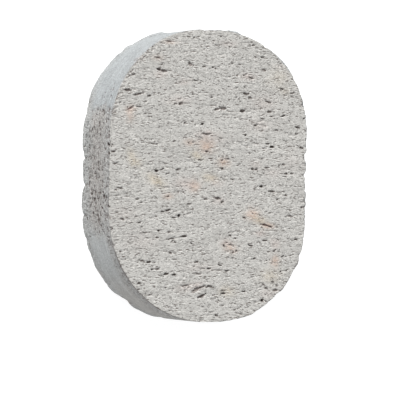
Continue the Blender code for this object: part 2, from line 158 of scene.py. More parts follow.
# Open bubbles in the front face, as x, y, length, height, tilt in degrees, and depth where it is
# more than the shallowest
FRONT_PITS = (
    # Upper left
    (-17.6, 34.6, 1.7, 0.8, -12, 1.3), (-15.9, 34.1, 2.6, 0.8, -8, 1.1), (-13.6, 34.3, 1.8, 0.5, 4),
    (-28.2, 27.6, 2.9, 0.8, -2, 1.3), (-24.8, 27.8, 4.0, 0.4, -2), (-24.2, 26.4, 3.8, 0.6, 15, 1.2),
    (-28.0, 28.7, 1.4, 0.4, -8, 0.6), (-26.8, 26.8, 1.0, 0.4, 0), (-23.2, 27.4, 1.6, 0.3, -12),
    (-20.8, 25.9, 1.4, 0.6, 5, 1.0), (-17.4, 26.8, 1.0, 0.5, 5, 0.8), (-19.2, 26.5, 1.6, 0.3, 10),
    (-26.2, 32.7, 1.8, 0.6, 12, 0.9), (-22.5, 32.5, 0.9, 0.4, 5, 0.6), (-16.6, 36.2, 1.1, 0.5, 8, 0.8),
    (-17.9, 38.3, 1.7, 0.6, -12, 0.8), (-15.3, 32.4, 1.5, 0.4, -15), (-12.9, 32.4, 1.4, 0.4, 0),
    (-11.8, 33.8, 1.2, 0.3, -5), (-17.1, 40.3, 1.2, 0.4, -15), (-14.1, 41.9, 1.0, 0.5, 0),
    (-16.8, 42.2, 0.8, 0.5, 0), (-21.9, 24.0, 1.8, 0.4, 5), (-20.7, 23.1, 1.0, 0.3, 0),
    (-6.9, 36.6, 1.6, 1.2, -25, 0.9), (-5.8, 36.2, 0.8, 0.8, 30), (-1.9, 35.9, 1.8, 0.5, 8, 0.8),
    (-4.5, 31.2, 1.9, 0.5, -8, 0.8), (-6.5, 32.0, 1.4, 0.4, -15), (-3.0, 30.7, 1.0, 0.3, -10),
    (-9.8, 23.6, 1.7, 0.8, 18, 1.1), (-8.0, 23.7, 2.4, 0.4, -8, 0.6), (-11.6, 23.4, 1.6, 0.4, -5, 0.6),
    (-10.0, 25.0, 1.0, 0.4, 0), (-12.8, 24.4, 0.8, 0.3, 15), (-14.8, 24.2, 1.2, 0.3, 0),
    (-27.0, 21.8, 2.4, 0.7, 25, 0.8), (-24.5, 22.2, 2.3, 0.5, 3, 0.8), (-28.2, 22.0, 0.8, 0.5, 40, 0.6),
    (-27.6, 20.6, 1.4, 0.4, -10), (-29.4, 20.7, 0.8, 0.4, 0), (-26.0, 21.0, 0.8, 0.4, 0),
    (-21.9, 20.0, 1.5, 0.5, 8, 0.8), (-24.2, 19.6, 2.0, 0.4, 14), (-20.8, 18.9, 1.0, 0.5, 0, 0.8),
    (-30.7, 23.4, 0.8, 0.5, 0, 0.6), (-29.2, 22.8, 0.7, 0.3, 0), (-25.1, 24.5, 0.7, 0.3, 0),
    (-17.9, 21.3, 0.7, 0.5, 0), (-17.3, 22.8, 0.7, 0.4, 0), (-10.7, 20.6, 0.9, 0.4, -10),
    (-13.5, 19.8, 1.2, 0.4, 8), (-6.0, 20.4, 1.6, 0.5, -20, 0.6), (-8.3, 17.2, 1.0, 0.6, 10, 0.9),
    (-5.7, 17.8, 1.0, 0.5, -15, 0.7), (-10.6, 17.8, 1.1, 0.4, 0, 0.6), (-2.1, 17.1, 1.0, 0.7, 10, 1.2),
    (-9.5, 17.4, 0.8, 0.5, 20), (-10.6, 18.8, 1.2, 0.3, 0), (-4.5, 16.9, 0.7, 0.4, 0),
    (-14.0, 16.8, 1.2, 0.5, -30), (-17.0, 18.2, 1.6, 0.3, 10), (-19.0, 17.2, 1.4, 0.3, -8),
    (-14.0, 43.8, 3.6, 0.5, -3, 0.8), (-16.8, 43.3, 1.4, 0.3, 0), (-8.1, 43.3, 2.0, 0.4, 0),
    (-7.2, 45.5, 1.7, 0.5, -8, 0.7), (-5.4, 45.3, 0.8, 0.7, 0, 0.8), (-6.9, 46.4, 0.9, 0.3, 0),
    (-4.0, 45.7, 1.6, 0.3, 3), (-1.1, 46.5, 0.8, 0.4, 0), (-5.6, 40.8, 2.8, 0.3, -5),
    (-2.0, 41.6, 0.9, 0.3, 0), (-8.3, 40.6, 2.2, 0.3, 8), (-0.4, 37.7, 1.2, 0.5, -5),
    (-5.4, 38.7, 0.6, 0.4, 0), (-9.7, 37.9, 0.9, 0.3, 0), (-11.5, 45.5, 0.8, 0.5, 10),
    (-13.4, 28.1, 1.1, 0.4, 0), (-7.5, 27.9, 1.0, 0.3, 0), (-8.2, 30.9, 1.3, 0.4, 12, 0.6),
    (-9.9, 30.5, 0.8, 0.3, 0), (-3.3, 27.2, 1.3, 0.4, 0), (-5.5, 26.6, 1.4, 0.3, 0),
    (-1.0, 27.4, 1.8, 0.3, 3), (-5.2, 29.2, 0.5, 0.6, 30),
    # Upper right
    (5.1, 22.4, 2.4, 1.0, -5, 1.3), (2.8, 22.0, 2.4, 0.6, 18, 1.0), (1.6, 23.2, 2.6, 0.3, -3),
    (0.8, 22.5, 1.4, 0.3, 5), (3.8, 22.9, 1.4, 0.3, -20, 0.6), (6.6, 21.4, 1.4, 0.4, -25),
    (5.0, 20.3, 1.6, 0.4, 0, 0.6), (3.6, 20.0, 1.4, 0.3, 0), (6.5, 20.1, 1.2, 0.3, 0),
    (8.8, 20.1, 2.0, 0.3, 0), (8.6, 21.4, 1.4, 0.4, 20), (9.2, 19.3, 1.2, 0.3, 0),
    (11.7, 21.7, 1.9, 0.9, -8, 1.6), (14.0, 21.6, 1.4, 0.4, -5), (15.9, 22.2, 1.4, 0.4, -8),
    (12.9, 27.3, 2.6, 0.6, -6, 1.4), (14.3, 26.1, 1.8, 0.7, -18, 1.0), (9.5, 26.1, 0.6, 0.5, 0, 0.8),
    (10.6, 25.5, 1.0, 0.6, -30, 0.7), (11.0, 24.6, 0.9, 0.4, -20, 0.6), (8.9, 25.2, 0.6, 0.4, 0),
    (21.1, 21.5, 1.4, 0.9, -5, 0.9), (20.6, 24.8, 2.4, 0.6, -14, 1.0), (18.0, 26.0, 1.0, 0.4, 0, 0.6),
    (26.2, 20.3, 1.4, 0.6, 16, 1.3), (27.3, 20.5, 1.2, 0.3, 0, 0.6), (22.1, 20.1, 2.4, 0.4, 3, 0.8),
    (23.1, 19.3, 1.2, 0.3, -20), (28.3, 18.7, 1.2, 0.4, -25), (19.0, 19.2, 1.6, 0.5, -15, 0.8),
    (16.6, 17.0, 1.6, 0.6, 15, 1.0), (19.2, 16.8, 3.0, 0.3, -8), (31.2, 16.6, 1.7, 0.5, -8, 1.0),
    (14.4, 18.6, 0.8, 0.5, 15), (13.3, 18.8, 0.8, 0.4, -20), (11.0, 18.9, 1.4, 0.4, -15),
    (26.2, 21.3, 1.8, 0.3, 5), (29.4, 21.6, 1.6, 0.3, 0), (22.8, 22.5, 1.2, 0.4, 0),
    (18.5, 39.5, 1.6, 0.5, 3, 1.0), (16.2, 39.4, 1.2, 0.4, 0, 0.8), (18.9, 35.3, 2.3, 0.6, -15, 0.9),
    (21.2, 35.6, 1.5, 0.4, -10), (20.7, 36.6, 1.0, 0.3, 0), (16.4, 37.8, 1.2, 0.4, -20),
    (16.6, 41.2, 0.9, 0.4, -10), (19.3, 40.6, 1.2, 0.4, 15), (17.9, 40.8, 0.8, 0.4, 0),
    (1.2, 35.8, 1.1, 0.6, 15, 1.0), (2.1, 35.3, 0.9, 0.5, -25, 0.7), (3.5, 36.2, 1.0, 0.4, 15),
    (8.0, 37.1, 1.0, 0.6, 5, 0.8), (6.9, 36.8, 0.9, 0.5, -25), (10.4, 36.9, 1.4, 0.4, 3, 0.7),
    (5.4, 34.8, 1.0, 0.4, -10), (9.7, 33.4, 0.8, 0.6, 20, 0.8), (12.1, 33.4, 0.8, 0.6, 10, 0.8),
    (12.9, 33.8, 0.7, 0.6, 0, 0.7), (11.2, 33.1, 0.7, 0.4, 0), (14.5, 32.6, 2.0, 0.6, -12, 0.8),
    (6.9, 32.8, 2.0, 0.3, -8), (12.8, 32.0, 1.2, 0.4, 30), (14.5, 35.8, 1.1, 0.3, 5),
    (25.5, 29.2, 1.6, 0.6, -6, 1.0), (24.4, 29.4, 1.0, 0.3, 10), (29.4, 28.0, 1.8, 0.5, 10, 0.9),
    (27.0, 27.1, 1.9, 0.4, 5, 0.6), (29.1, 26.8, 1.2, 0.3, 5), (19.8, 31.3, 1.0, 0.4, 0),
    (3.7, 46.0, 0.9, 0.6, 0, 0.8), (1.4, 44.4, 1.3, 0.4, 0, 0.6), (2.4, 43.1, 1.3, 0.4, 0),
    (3.0, 44.3, 0.8, 0.4, 0), (7.0, 42.5, 1.0, 0.5, -25, 0.6), (6.2, 43.6, 2.6, 0.3, -5),
    (15.3, 43.4, 1.1, 0.6, 0, 0.8), (14.3, 43.2, 1.2, 0.4, 18, 0.6), (14.6, 44.3, 1.2, 0.4, -25, 0.6),
    (12.6, 44.2, 1.6, 0.3, 0), (4.0, 40.0, 2.4, 0.3, 5), (24.8, 37.4, 0.8, 0.5, 0, 0.6),
    (25.9, 37.3, 0.9, 0.4, 0), (24.3, 36.7, 0.9, 0.3, 10), (12.6, 29.6, 1.2, 0.4, 15, 0.6),
    (9.7, 29.3, 1.3, 0.4, 20, 0.6), (7.0, 29.4, 1.2, 0.4, -15), (0.9, 25.9, 1.0, 0.7, 0, 0.8),
    (2.5, 30.1, 0.9, 0.4, 10), (33.2, 19.6, 0.9, 0.6, 0, 0.9), (10.5, 45.5, 0.8, 0.4, 0),
    (5.5, 45.9, 1.4, 0.4, -5), (21.4, 39.2, 0.8, 0.3, 0), (3.2, 26.6, 1.2, 0.3, 0),
    (11.0, 38.3, 1.6, 0.3, 3), (7.2, 38.5, 1.2, 0.3, 0),
    # Middle left
    (-33.4, 9.4, 1.2, 0.9, -20, 1.3), (-32.9, 7.4, 1.8, 0.7, 0, 1.1), (-32.0, 3.6, 1.9, 0.5, 8, 0.8),
    (-33.2, 6.1, 0.8, 0.4, 0), (-32.0, 6.1, 0.8, 0.4, 0), (-29.4, 4.9, 1.2, 0.3, 0),
    (-28.3, 5.4, 0.8, 0.4, 0), (-30.0, 5.5, 0.8, 0.3, 0), (-25.9, 2.0, 1.2, 0.3, -15),
    (-17.6, 1.3, 1.3, 0.8, 0, 1.8), (-16.0, 1.9, 1.6, 0.6, 30, 0.9), (-13.8, 2.6, 2.4, 0.4, -4, 0.6),
    (-12.4, 2.3, 1.2, 0.4, -15, 0.6), (-10.5, 2.0, 2.0, 0.6, 4, 1.0), (-7.7, 2.0, 1.0, 0.3, 0),
    (-14.0, 0.5, 1.4, 0.5, 20, 0.9), (-14.7, 3.8, 1.5, 0.4, 0, 0.8), (-17.9, 0.2, 1.2, 0.4, -35),
    (-20.6, 1.1, 1.6, 0.4, 20), (-17.9, 2.2, 1.0, 0.3, 15), (-20.6, 3.3, 1.6, 0.3, -15),
    (-0.7, 13.9, 4.0, 0.5, -1, 1.4), (-2.5, 14.6, 1.0, 0.4, -8, 0.6), (-2.9, 12.6, 0.9, 0.4, 0, 0.6),
    (-12.0, 11.0, 1.1, 0.5, 0, 0.7), (-17.2, 15.5, 0.7, 0.5, 0, 0.6), (-19.2, 10.2, 1.6, 0.5, -3, 0.8),
    (-18.0, 10.3, 0.8, 0.4, 0, 0.6), (-21.9, 11.9, 0.7, 0.4, 20, 0.6), (-20.4, 11.7, 0.7, 0.4, -15, 0.6),
    (-22.4, 10.6, 1.1, 0.3, 0), (-22.3, 12.6, 0.5, 0.4, 0), (-18.4, 8.4, 0.9, 0.5, 15),
    (-22.6, 8.3, 1.0, 0.4, 10), (-26.2, 10.9, 1.6, 0.4, -12), (-22.8, 9.2, 1.2, 0.3, 10),
    (-27.3, 14.4, 1.4, 0.4, -10), (-26.4, 7.4, 1.8, 0.3, -12), (-10.1, 9.8, 0.9, 0.3, 0),
    (-0.5, 8.1, 1.1, 0.6, 0, 1.0), (-2.1, 8.3, 1.3, 0.3, -8), (0.5, 7.7, 0.9, 0.4, 0, 0.6),
    (-2.7, 5.2, 1.5, 0.5, -15, 0.9), (-6.5, 6.1, 2.0, 0.4, 5, 0.7), (-4.3, 4.2, 1.6, 0.3, -12, 0.6),
    (-2.7, 3.8, 1.0, 0.4, 0, 0.6), (-6.1, 4.7, 1.6, 0.3, -5), (-6.9, 10.8, 1.5, 0.4, -22, 0.7),
    (-5.5, 10.9, 0.9, 0.4, 0), (-13.8, 5.9, 1.8, 0.3, 3), (-11.8, 6.9, 1.2, 0.4, -15),
    (-23.0, 2.8, 1.6, 0.8, -12), (-29.1, -2.2, 0.8, 0.4, 0, 0.6), (-27.6, -3.0, 1.4, 0.4, -15, 0.6),
    (-30.4, -4.5, 2.0, 0.6, -8, 0.9), (-31.6, -4.9, 1.0, 0.5, 0, 0.8), (-24.3, -7.9, 1.4, 0.6, -3, 1.1),
    (-25.8, -7.4, 1.0, 0.4, 0), (-31.4, -6.9, 2.2, 0.4, 10, 0.6), (-28.0, -7.2, 2.6, 0.3, 3),
    (-23.2, -9.1, 2.0, 0.5, 15, 0.6), (-21.7, -8.5, 0.8, 0.3, 20), (-19.7, -8.9, 0.7, 0.4, 0, 0.6),
    (-13.7, -6.9, 1.2, 0.5, 0, 0.9), (-11.6, -5.6, 1.0, 0.4, 30), (-10.3, -5.5, 0.6, 0.8, 20),
    (-0.8, -7.6, 1.8, 0.6, -5, 1.0), (-6.4, -9.3, 2.1, 0.5, -3, 0.9), (-1.0, -4.2, 2.0, 0.4, 6, 0.6),
    (-5.3, -2.8, 0.7, 0.5, 0, 0.6), (-7.9, -2.5, 0.9, 0.4, -15), (-1.2, -1.0, 1.6, 0.4, 15),
    (-1.3, -2.1, 0.8, 0.4, 0), (-25.0, -1.2, 1.0, 0.4, 0, 0.6), (-26.4, -1.1, 1.0, 0.4, -30),
    (-13.5, -11.5, 2.2, 0.6, 14, 1.2), (-15.4, -11.9, 1.6, 0.5, 8, 1.0), (-11.7, -12.0, 0.9, 0.4, 25, 0.6),
    (-9.8, -13.1, 1.1, 0.8, 0, 1.6), (-8.1, -12.8, 1.4, 0.4, 8, 0.6), (-5.8, -12.1, 1.0, 0.3, 15),
    (-11.6, -13.8, 1.6, 0.5, 5, 0.9), (-13.0, -12.9, 1.0, 0.3, 0), (-9.2, -11.3, 1.4, 0.3, 0),
    (-8.7, -10.5, 0.8, 0.3, 0), (-31.4, -12.3, 1.6, 0.5, 5, 0.9), (-28.2, -12.7, 1.4, 0.3, 0),
    (-29.2, -14.6, 1.6, 0.6, -25, 0.9), (-23.4, -15.5, 1.4, 0.6, 15, 1.1), (-27.7, -15.6, 0.7, 0.4, 0, 0.6),
    (-24.4, -13.7, 1.2, 0.4, 15), (-23.0, -13.9, 0.8, 0.3, 0), (-13.9, -4.0, 2.4, 0.4, -2, 0.6),
    (-17.9, -7.4, 1.6, 0.5, -30, 0.6), (-19.2, -14.0, 1.2, 0.6, 20), (-17.6, -13.5, 0.9, 0.5, 0),
    (-33.8, -10.5, 0.8, 0.4, 0, 0.7), (-22.6, -3.8, 1.0, 0.3, -8), (-32.2, -15.9, 1.0, 0.3, 5),
    (-23.6, -5.4, 2.2, 0.3, 12), (-27.9, -6.2, 1.6, 0.4, 8), (-6.2, -16.2, 1.2, 0.3, -5),
    # Middle right
    (12.9, 13.8, 0.9, 0.7, 0, 1.2), (22.4, 10.0, 1.5, 0.7, 0, 1.8), (20.8, 10.9, 1.4, 0.6, 10, 0.9),
    (24.9, 9.9, 1.0, 0.4, 0, 0.6), (32.6, 9.9, 1.2, 0.6, -10, 1.2), (31.4, 10.5, 1.2, 0.4, -30, 0.6),
    (24.0, 15.6, 1.3, 0.6, -5, 0.9), (25.6, 15.4, 0.8, 0.4, 0), (18.5, 15.3, 1.8, 0.5, 5, 0.6),
    (30.9, 14.6, 1.6, 0.5, 0, 0.8), (27.4, 14.7, 1.8, 0.4, -8, 0.6), (29.3, 14.0, 2.4, 0.3, -8),
    (20.5, 12.5, 1.5, 0.4, -10), (13.2, 10.1, 3.0, 0.4, 0), (16.2, 11.0, 3.4, 0.3, -3),
    (11.4, 11.3, 1.8, 0.3, 0), (12.2, 14.6, 1.2, 0.3, 0), (4.1, 12.4, 2.2, 0.4, -28, 0.6),
    (6.6, 11.0, 1.0, 0.3, 5), (8.7, 11.5, 1.0, 0.4, -15), (22.5, 8.1, 2.0, 0.4, 12, 0.6),
    (19.6, 9.5, 2.2, 0.3, 0), (14.4, 7.8, 1.0, 0.6, -20, 0.8), (13.4, 7.7, 0.8, 0.4, 10),
    (17.9, 6.1, 0.8, 0.5, 15, 0.6), (19.0, 6.1, 0.8, 0.4, 0, 0.6), (13.3, 12.4, 2.0, 0.3, 0),
    (5.1, 2.6, 1.1, 0.7, 0, 1.2), (4.2, 2.6, 0.6, 0.6, 0, 0.8), (5.1, 5.2, 0.8, 0.7, 0, 0.9),
    (6.5, 5.8, 2.6, 0.5, -2, 0.7), (2.5, 4.1, 1.4, 0.5, -5), (3.7, 4.3, 0.8, 0.5, 30),
    (6.6, 6.7, 1.2, 0.3, -15), (11.1, 4.1, 1.0, 0.5, 0, 0.6), (8.6, 6.2, 1.2, 0.3, 0),
    (15.6, 2.6, 1.0, 0.7, 0, 1.1), (16.9, 2.5, 1.3, 0.6, 15, 1.0), (14.4, 2.5, 0.9, 0.4, 0),
    (17.3, 1.7, 0.7, 0.8, 10, 0.7), (15.0, 0.9, 0.6, 0.5, 0), (16.3, 2.0, 0.8, 0.3, 0),
    (18.6, 0.3, 1.0, 0.3, 15), (19.6, 1.2, 0.8, 0.4, 0), (20.6, 3.1, 1.9, 0.6, 5, 0.9),
    (25.2, 4.0, 1.0, 0.6, 0, 0.9), (26.6, 4.2, 1.6, 0.5, -5, 0.8), (21.6, 1.9, 1.5, 0.4, 0),
    (27.5, 1.2, 1.2, 0.6, 0, 1.0), (29.4, 1.3, 1.4, 0.5, -8, 0.9), (26.9, 0.4, 1.6, 0.4, 0, 0.8),
    (6.2, 0.0, 1.0, 0.3, 0), (8.5, -1.0, 1.6, 0.5, -10, 0.8), (8.9, -1.6, 1.2, 0.3, 0),
    (18.8, -3.1, 1.3, 0.8, 0, 1.6), (17.5, -3.1, 0.9, 0.4, 0, 0.6), (20.2, -2.9, 1.8, 0.4, 5, 0.6),
    (22.3, -4.7, 2.3, 0.6, -3, 1.3), (25.2, -4.9, 2.2, 0.4, -3, 0.6), (23.2, -5.4, 1.2, 0.4, 15, 0.6),
    (27.5, -5.9, 1.2, 0.5, 0, 1.0), (25.4, -5.7, 1.4, 0.3, 0), (22.0, -5.9, 0.9, 0.4, 15),
    (32.3, -6.5, 1.6, 0.4, 0, 0.6), (24.6, -7.3, 1.0, 0.5, 0, 0.8), (27.6, -7.3, 1.0, 0.3, 0),
    (3.7, -7.3, 2.0, 0.9, -5, 1.1), (2.3, -6.9, 1.6, 0.4, 0, 0.6), (2.0, -8.4, 1.8, 0.4, 5, 0.7),
    (5.2, -8.5, 1.3, 0.7, 20, 1.0), (2.0, -5.1, 1.0, 0.4, 0), (8.3, -9.2, 1.5, 0.4, -5),
    (17.2, -9.7, 1.0, 0.4, 0), (13.8, -8.4, 0.8, 0.3, 0), (17.1, -7.0, 0.6, 0.3, 0),
    (21.8, -11.9, 1.9, 0.4, 3, 0.7), (24.8, -11.9, 1.5, 0.4, -8, 0.6), (20.7, -11.3, 0.9, 0.3, 0),
    (28.6, -10.6, 1.9, 0.4, -5, 0.6), (29.2, -12.7, 2.6, 0.6, -3, 0.8), (27.6, -13.1, 1.0, 0.4, 10, 0.6),
    (31.4, -12.7, 1.2, 0.3, 0), (13.0, -13.5, 1.2, 0.7, -20, 0.9), (14.2, -13.4, 1.0, 0.3, 15),
    (18.3, -12.6, 1.4, 0.4, -8, 0.6), (19.5, -10.6, 0.7, 0.4, 0), (17.2, -11.1, 1.0, 0.3, 0),
    (8.6, -12.0, 1.3, 0.4, 3, 0.6), (6.7, -12.5, 2.0, 0.3, 0), (9.0, -12.8, 1.6, 0.4, 5, 0.6),
    (6.5, -11.0, 1.8, 0.3, -15), (11.9, -11.4, 1.6, 0.3, 15), (8.3, -15.6, 1.5, 0.4, 0),
    (7.5, -15.0, 0.7, 0.4, 0), (20.3, -15.8, 2.6, 0.6, -6, 1.3), (21.9, -16.3, 1.7, 0.6, -20, 1.1),
    (18.8, -15.6, 1.2, 0.4, 0, 0.7), (17.1, -16.3, 0.7, 0.4, 0), (33.3, -9.8, 0.9, 0.6, 0, 0.8),
    (32.8, -8.1, 1.0, 0.4, -15), (33.0, 3.0, 1.0, 0.5, 0), (28.6, -0.8, 1.6, 0.3, 8),
    (25.9, 7.0, 1.6, 0.3, 5), (27.1, 12.0, 1.6, 0.3, 5), (5.5, 9.8, 1.2, 0.3, 0),
    # Lower left
    (-33.2, -17.6, 1.8, 0.6, -20, 0.9), (-16.9, -18.2, 1.1, 0.6, 0, 1.1), (-22.7, -17.0, 0.9, 0.4, 5, 0.6),
    (-13.1, -18.6, 1.1, 0.5, 0, 0.9), (-11.9, -18.6, 0.8, 0.3, 0), (-19.9, -18.8, 1.1, 0.4, 0, 0.7),
    (-21.5, -18.9, 1.6, 0.5, 5, 0.7), (-18.3, -19.7, 1.2, 0.3, 0), (-7.9, -19.9, 2.0, 0.8, 8, 1.3),
    (-9.0, -20.1, 1.2, 0.4, 5, 0.7), (-17.2, -20.4, 1.2, 0.5, 0, 1.1), (-18.6, -21.1, 1.2, 0.3, 0),
    (-12.6, -20.8, 2.6, 0.6, 10, 1.0), (-12.1, -21.5, 1.3, 0.5, 30, 0.9),
    (-10.9, -21.8, 1.4, 0.4, -45, 0.8), (-14.2, -21.1, 1.4, 0.3, 5), (-5.4, -22.2, 1.2, 0.6, -20, 1.0),
    (-6.8, -21.8, 1.4, 0.3, 0), (-31.1, -21.4, 1.0, 0.4, -10, 0.7), (-31.0, -20.5, 0.8, 0.3, 0),
    (-25.0, -20.8, 0.7, 0.4, 0), (-27.6, -20.8, 0.8, 0.4, 0), (-28.9, -21.0, 0.8, 0.3, 0),
    (-20.5, -20.9, 0.8, 0.4, 15), (-25.9, -19.5, 0.8, 0.4, 0), (-26.2, -21.0, 0.5, 0.5, 20),
    (-26.0, -18.0, 1.0, 0.3, 10), (-10.1, -18.0, 0.9, 0.5, 30), (-29.9, -25.3, 0.8, 0.6, 0, 0.7),
    (-28.4, -24.6, 0.8, 0.3, 0), (-13.9, -24.9, 1.1, 0.4, -28, 0.7), (-12.7, -25.4, 1.2, 0.7, -5, 0.8),
    (-16.4, -24.8, 1.6, 0.3, -12), (-10.7, -25.4, 0.7, 0.4, 0), (-4.9, -26.2, 0.7, 0.5, 0),
    (-2.1, -24.8, 1.2, 0.4, 40), (-4.0, -24.6, 1.0, 0.3, 0), (-0.4, -24.8, 0.5, 0.5, 0),
    (-10.7, -27.5, 1.7, 0.5, 5, 0.8), (-9.8, -28.4, 1.6, 0.3, -28), (-7.1, -29.2, 1.4, 0.3, -22),
    (-6.1, -27.5, 1.4, 0.3, -5), (-3.6, -28.3, 1.7, 0.6, 8, 1.1), (-4.3, -29.7, 1.0, 0.4, 0, 0.6),
    (-1.6, -28.7, 1.2, 0.3, 15), (-20.0, -28.4, 1.7, 0.7, 8, 1.5), (-22.2, -28.1, 1.8, 0.6, -14, 0.9),
    (-23.4, -27.8, 1.0, 0.5, 25, 0.9), (-18.2, -28.6, 1.6, 0.4, -3, 0.6), (-23.8, -28.6, 1.0, 0.3, 40),
    (-25.0, -27.3, 1.2, 0.3, 0), (-27.9, -27.6, 0.8, 0.6, 30), (-27.2, -27.4, 0.7, 0.4, 0),
    (-18.7, -30.8, 1.3, 0.6, 5, 1.0), (-17.1, -30.7, 1.2, 0.7, 35, 1.0), (-13.8, -32.3, 1.8, 0.7, 10, 1.6),
    (-11.2, -32.5, 1.6, 0.7, 8, 1.5), (-12.1, -31.6, 1.2, 0.3, -12), (-15.7, -32.9, 0.9, 0.5, -30, 0.7),
    (-7.8, -31.4, 1.4, 0.3, -12), (-7.7, -33.1, 1.1, 0.4, 0), (-2.6, -32.2, 2.6, 0.5, -3, 0.8),
    (-4.1, -32.2, 1.0, 0.3, 5), (-22.8, -30.5, 1.4, 0.3, 5), (-26.0, -29.8, 1.4, 0.4, -8),
    (-1.2, -30.4, 1.6, 0.4, -3, 0.8), (-9.0, -34.4, 1.6, 0.3, 5), (-5.4, -35.6, 1.0, 0.3, 0),
    (-25.4, -35.1, 0.9, 0.4, 0, 0.6), (-23.2, -35.4, 1.3, 0.6, 5, 1.2), (-24.0, -34.8, 0.8, 0.3, 0),
    (-21.8, -36.2, 1.2, 0.3, 0), (-23.3, -37.4, 1.1, 0.4, 0, 0.6), (-14.1, -36.8, 1.4, 0.4, 20),
    (-12.6, -37.2, 1.2, 0.4, -15), (-11.4, -37.1, 0.9, 0.5, 25), (-15.4, -36.9, 0.9, 0.3, 0),
    (-7.4, -36.0, 3.2, 0.6, 8, 0.9), (-6.2, -36.6, 1.3, 0.4, 15, 0.8), (-8.9, -37.7, 2.0, 0.3, 5),
    (-7.4, -37.6, 1.2, 0.3, 15), (-4.2, -35.6, 1.1, 0.3, 0), (-2.0, -36.6, 4.0, 0.8, 15, 1.4),
    (-3.6, -37.5, 2.8, 0.7, 18, 1.1), (-1.4, -39.4, 2.9, 0.9, 24, 1.5), (-0.3, -38.8, 1.2, 0.5, 28, 1.1),
    (-2.2, -39.8, 1.8, 0.6, 10, 1.1), (-21.3, -39.0, 1.1, 0.4, 0, 0.7), (-19.5, -39.2, 1.6, 0.4, 5, 0.8),
    (-14.6, -39.3, 1.0, 0.4, 15), (-12.9, -43.1, 1.1, 0.4, -8, 0.7), (-12.4, -44.4, 0.9, 0.5, 20, 0.6),
    (-14.0, -42.9, 0.8, 0.3, 0), (-10.3, -44.4, 1.4, 0.4, 0), (-14.6, -41.9, 0.7, 0.4, 0),
    (-9.5, -45.6, 1.4, 0.3, 0), (-1.0, -43.0, 1.2, 0.3, -5), (-0.5, -45.6, 1.0, 0.4, 0),
    (-1.4, -47.3, 1.8, 0.4, 0, 0.6),
    # Lower right
    (0.4, -16.9, 1.3, 0.4, 0, 0.6), (12.1, -17.0, 1.3, 0.4, -15), (14.0, -17.6, 0.8, 0.4, 0),
    (18.6, -17.5, 0.6, 0.6, 20), (16.3, -18.2, 1.2, 0.3, -15), (26.6, -17.6, 1.3, 0.4, -25, 0.6),
    (8.1, -19.4, 1.0, 0.6, 0, 0.8), (8.3, -18.4, 2.4, 0.3, 0), (9.8, -20.4, 1.5, 0.4, -12, 0.7),
    (3.5, -21.0, 1.3, 0.5, -5, 0.6), (4.5, -19.2, 1.2, 0.3, 15), (6.2, -22.9, 1.5, 0.6, -45, 1.2),
    (8.5, -22.6, 1.9, 0.6, -10, 0.8), (6.8, -21.7, 0.9, 0.4, 0, 0.6), (9.2, -25.0, 0.8, 0.7, 0, 1.0),
    (10.4, -24.5, 0.9, 0.6, -40, 0.8), (7.4, -24.6, 1.2, 0.4, 15), (11.2, -23.2, 1.0, 0.3, 0),
    (15.3, -22.7, 2.0, 0.5, -8, 1.1), (12.3, -21.9, 1.0, 0.3, 0), (20.4, -20.9, 1.9, 0.5, 5, 1.4),
    (18.4, -21.5, 1.1, 0.4, -15, 0.6), (31.3, -20.4, 1.4, 0.5, 0, 1.1), (25.1, -20.6, 1.0, 0.4, 0, 0.6),
    (32.8, -18.9, 1.4, 0.3, 5), (28.8, -17.0, 1.2, 0.3, 0), (30.9, -19.0, 1.2, 0.3, 5),
    (23.4, -22.1, 1.4, 0.4, 0), (21.8, -24.6, 1.5, 0.5, 5, 0.9), (23.7, -24.3, 1.6, 0.6, 35, 1.0),
    (25.2, -24.5, 1.0, 0.4, -15, 0.6), (21.5, -23.5, 1.0, 0.3, 0), (26.7, -26.1, 1.2, 0.6, 40, 1.0),
    (27.8, -26.2, 0.8, 0.5, 0, 0.7), (25.4, -26.1, 1.0, 0.4, 25, 0.6), (29.2, -25.9, 1.4, 0.3, 0),
    (20.9, -27.5, 1.6, 0.4, -8, 0.6), (22.2, -27.4, 0.8, 0.4, -40), (16.8, -27.0, 1.1, 0.6, -8, 1.2),
    (14.6, -26.4, 1.4, 0.4, 15, 0.6), (13.6, -26.9, 1.0, 0.3, 0), (15.4, -27.4, 1.0, 0.3, -8),
    (16.6, -26.0, 0.6, 0.4, 0), (9.0, -26.9, 1.6, 0.5, 5), (7.0, -26.9, 1.4, 0.3, 0),
    (24.2, -28.2, 0.8, 0.5, 0), (23.0, -28.4, 1.0, 0.3, 0), (25.9, -28.2, 0.8, 0.4, 0),
    (28.6, -29.7, 1.4, 0.3, 5), (30.4, -30.1, 1.2, 0.4, 10, 0.6), (14.6, -29.1, 2.0, 0.4, -12, 0.6),
    (4.6, -29.2, 1.6, 0.5, -15, 0.8), (10.2, -28.6, 1.2, 0.3, -10), (15.8, -30.2, 1.2, 0.3, -15),
    (17.0, -30.8, 1.2, 0.3, 0), (0.8, -30.4, 1.5, 0.5, 0, 1.0), (2.1, -31.0, 1.2, 0.5, 0, 0.8),
    (4.0, -30.9, 2.6, 0.4, 0, 0.8), (7.1, -31.0, 2.0, 0.6, 4, 1.2), (5.4, -31.3, 0.6, 0.4, -30),
    (12.6, -31.0, 1.2, 0.3, -18), (26.0, -31.2, 1.1, 0.6, -20, 0.9), (28.4, -30.6, 1.4, 0.5, 28, 0.8),
    (27.2, -30.9, 0.8, 0.3, 20), (16.4, -33.0, 1.0, 0.5, 0, 0.6), (28.4, -32.6, 0.8, 0.4, 10),
    (23.3, -34.6, 1.2, 0.6, -10, 1.0), (26.7, -34.1, 1.1, 0.4, 5), (25.8, -33.8, 1.0, 0.3, -15),
    (24.8, -35.7, 1.2, 0.5, 5, 0.7), (23.2, -35.4, 1.8, 0.3, -3), (18.7, -35.1, 1.4, 0.4, 15, 0.7),
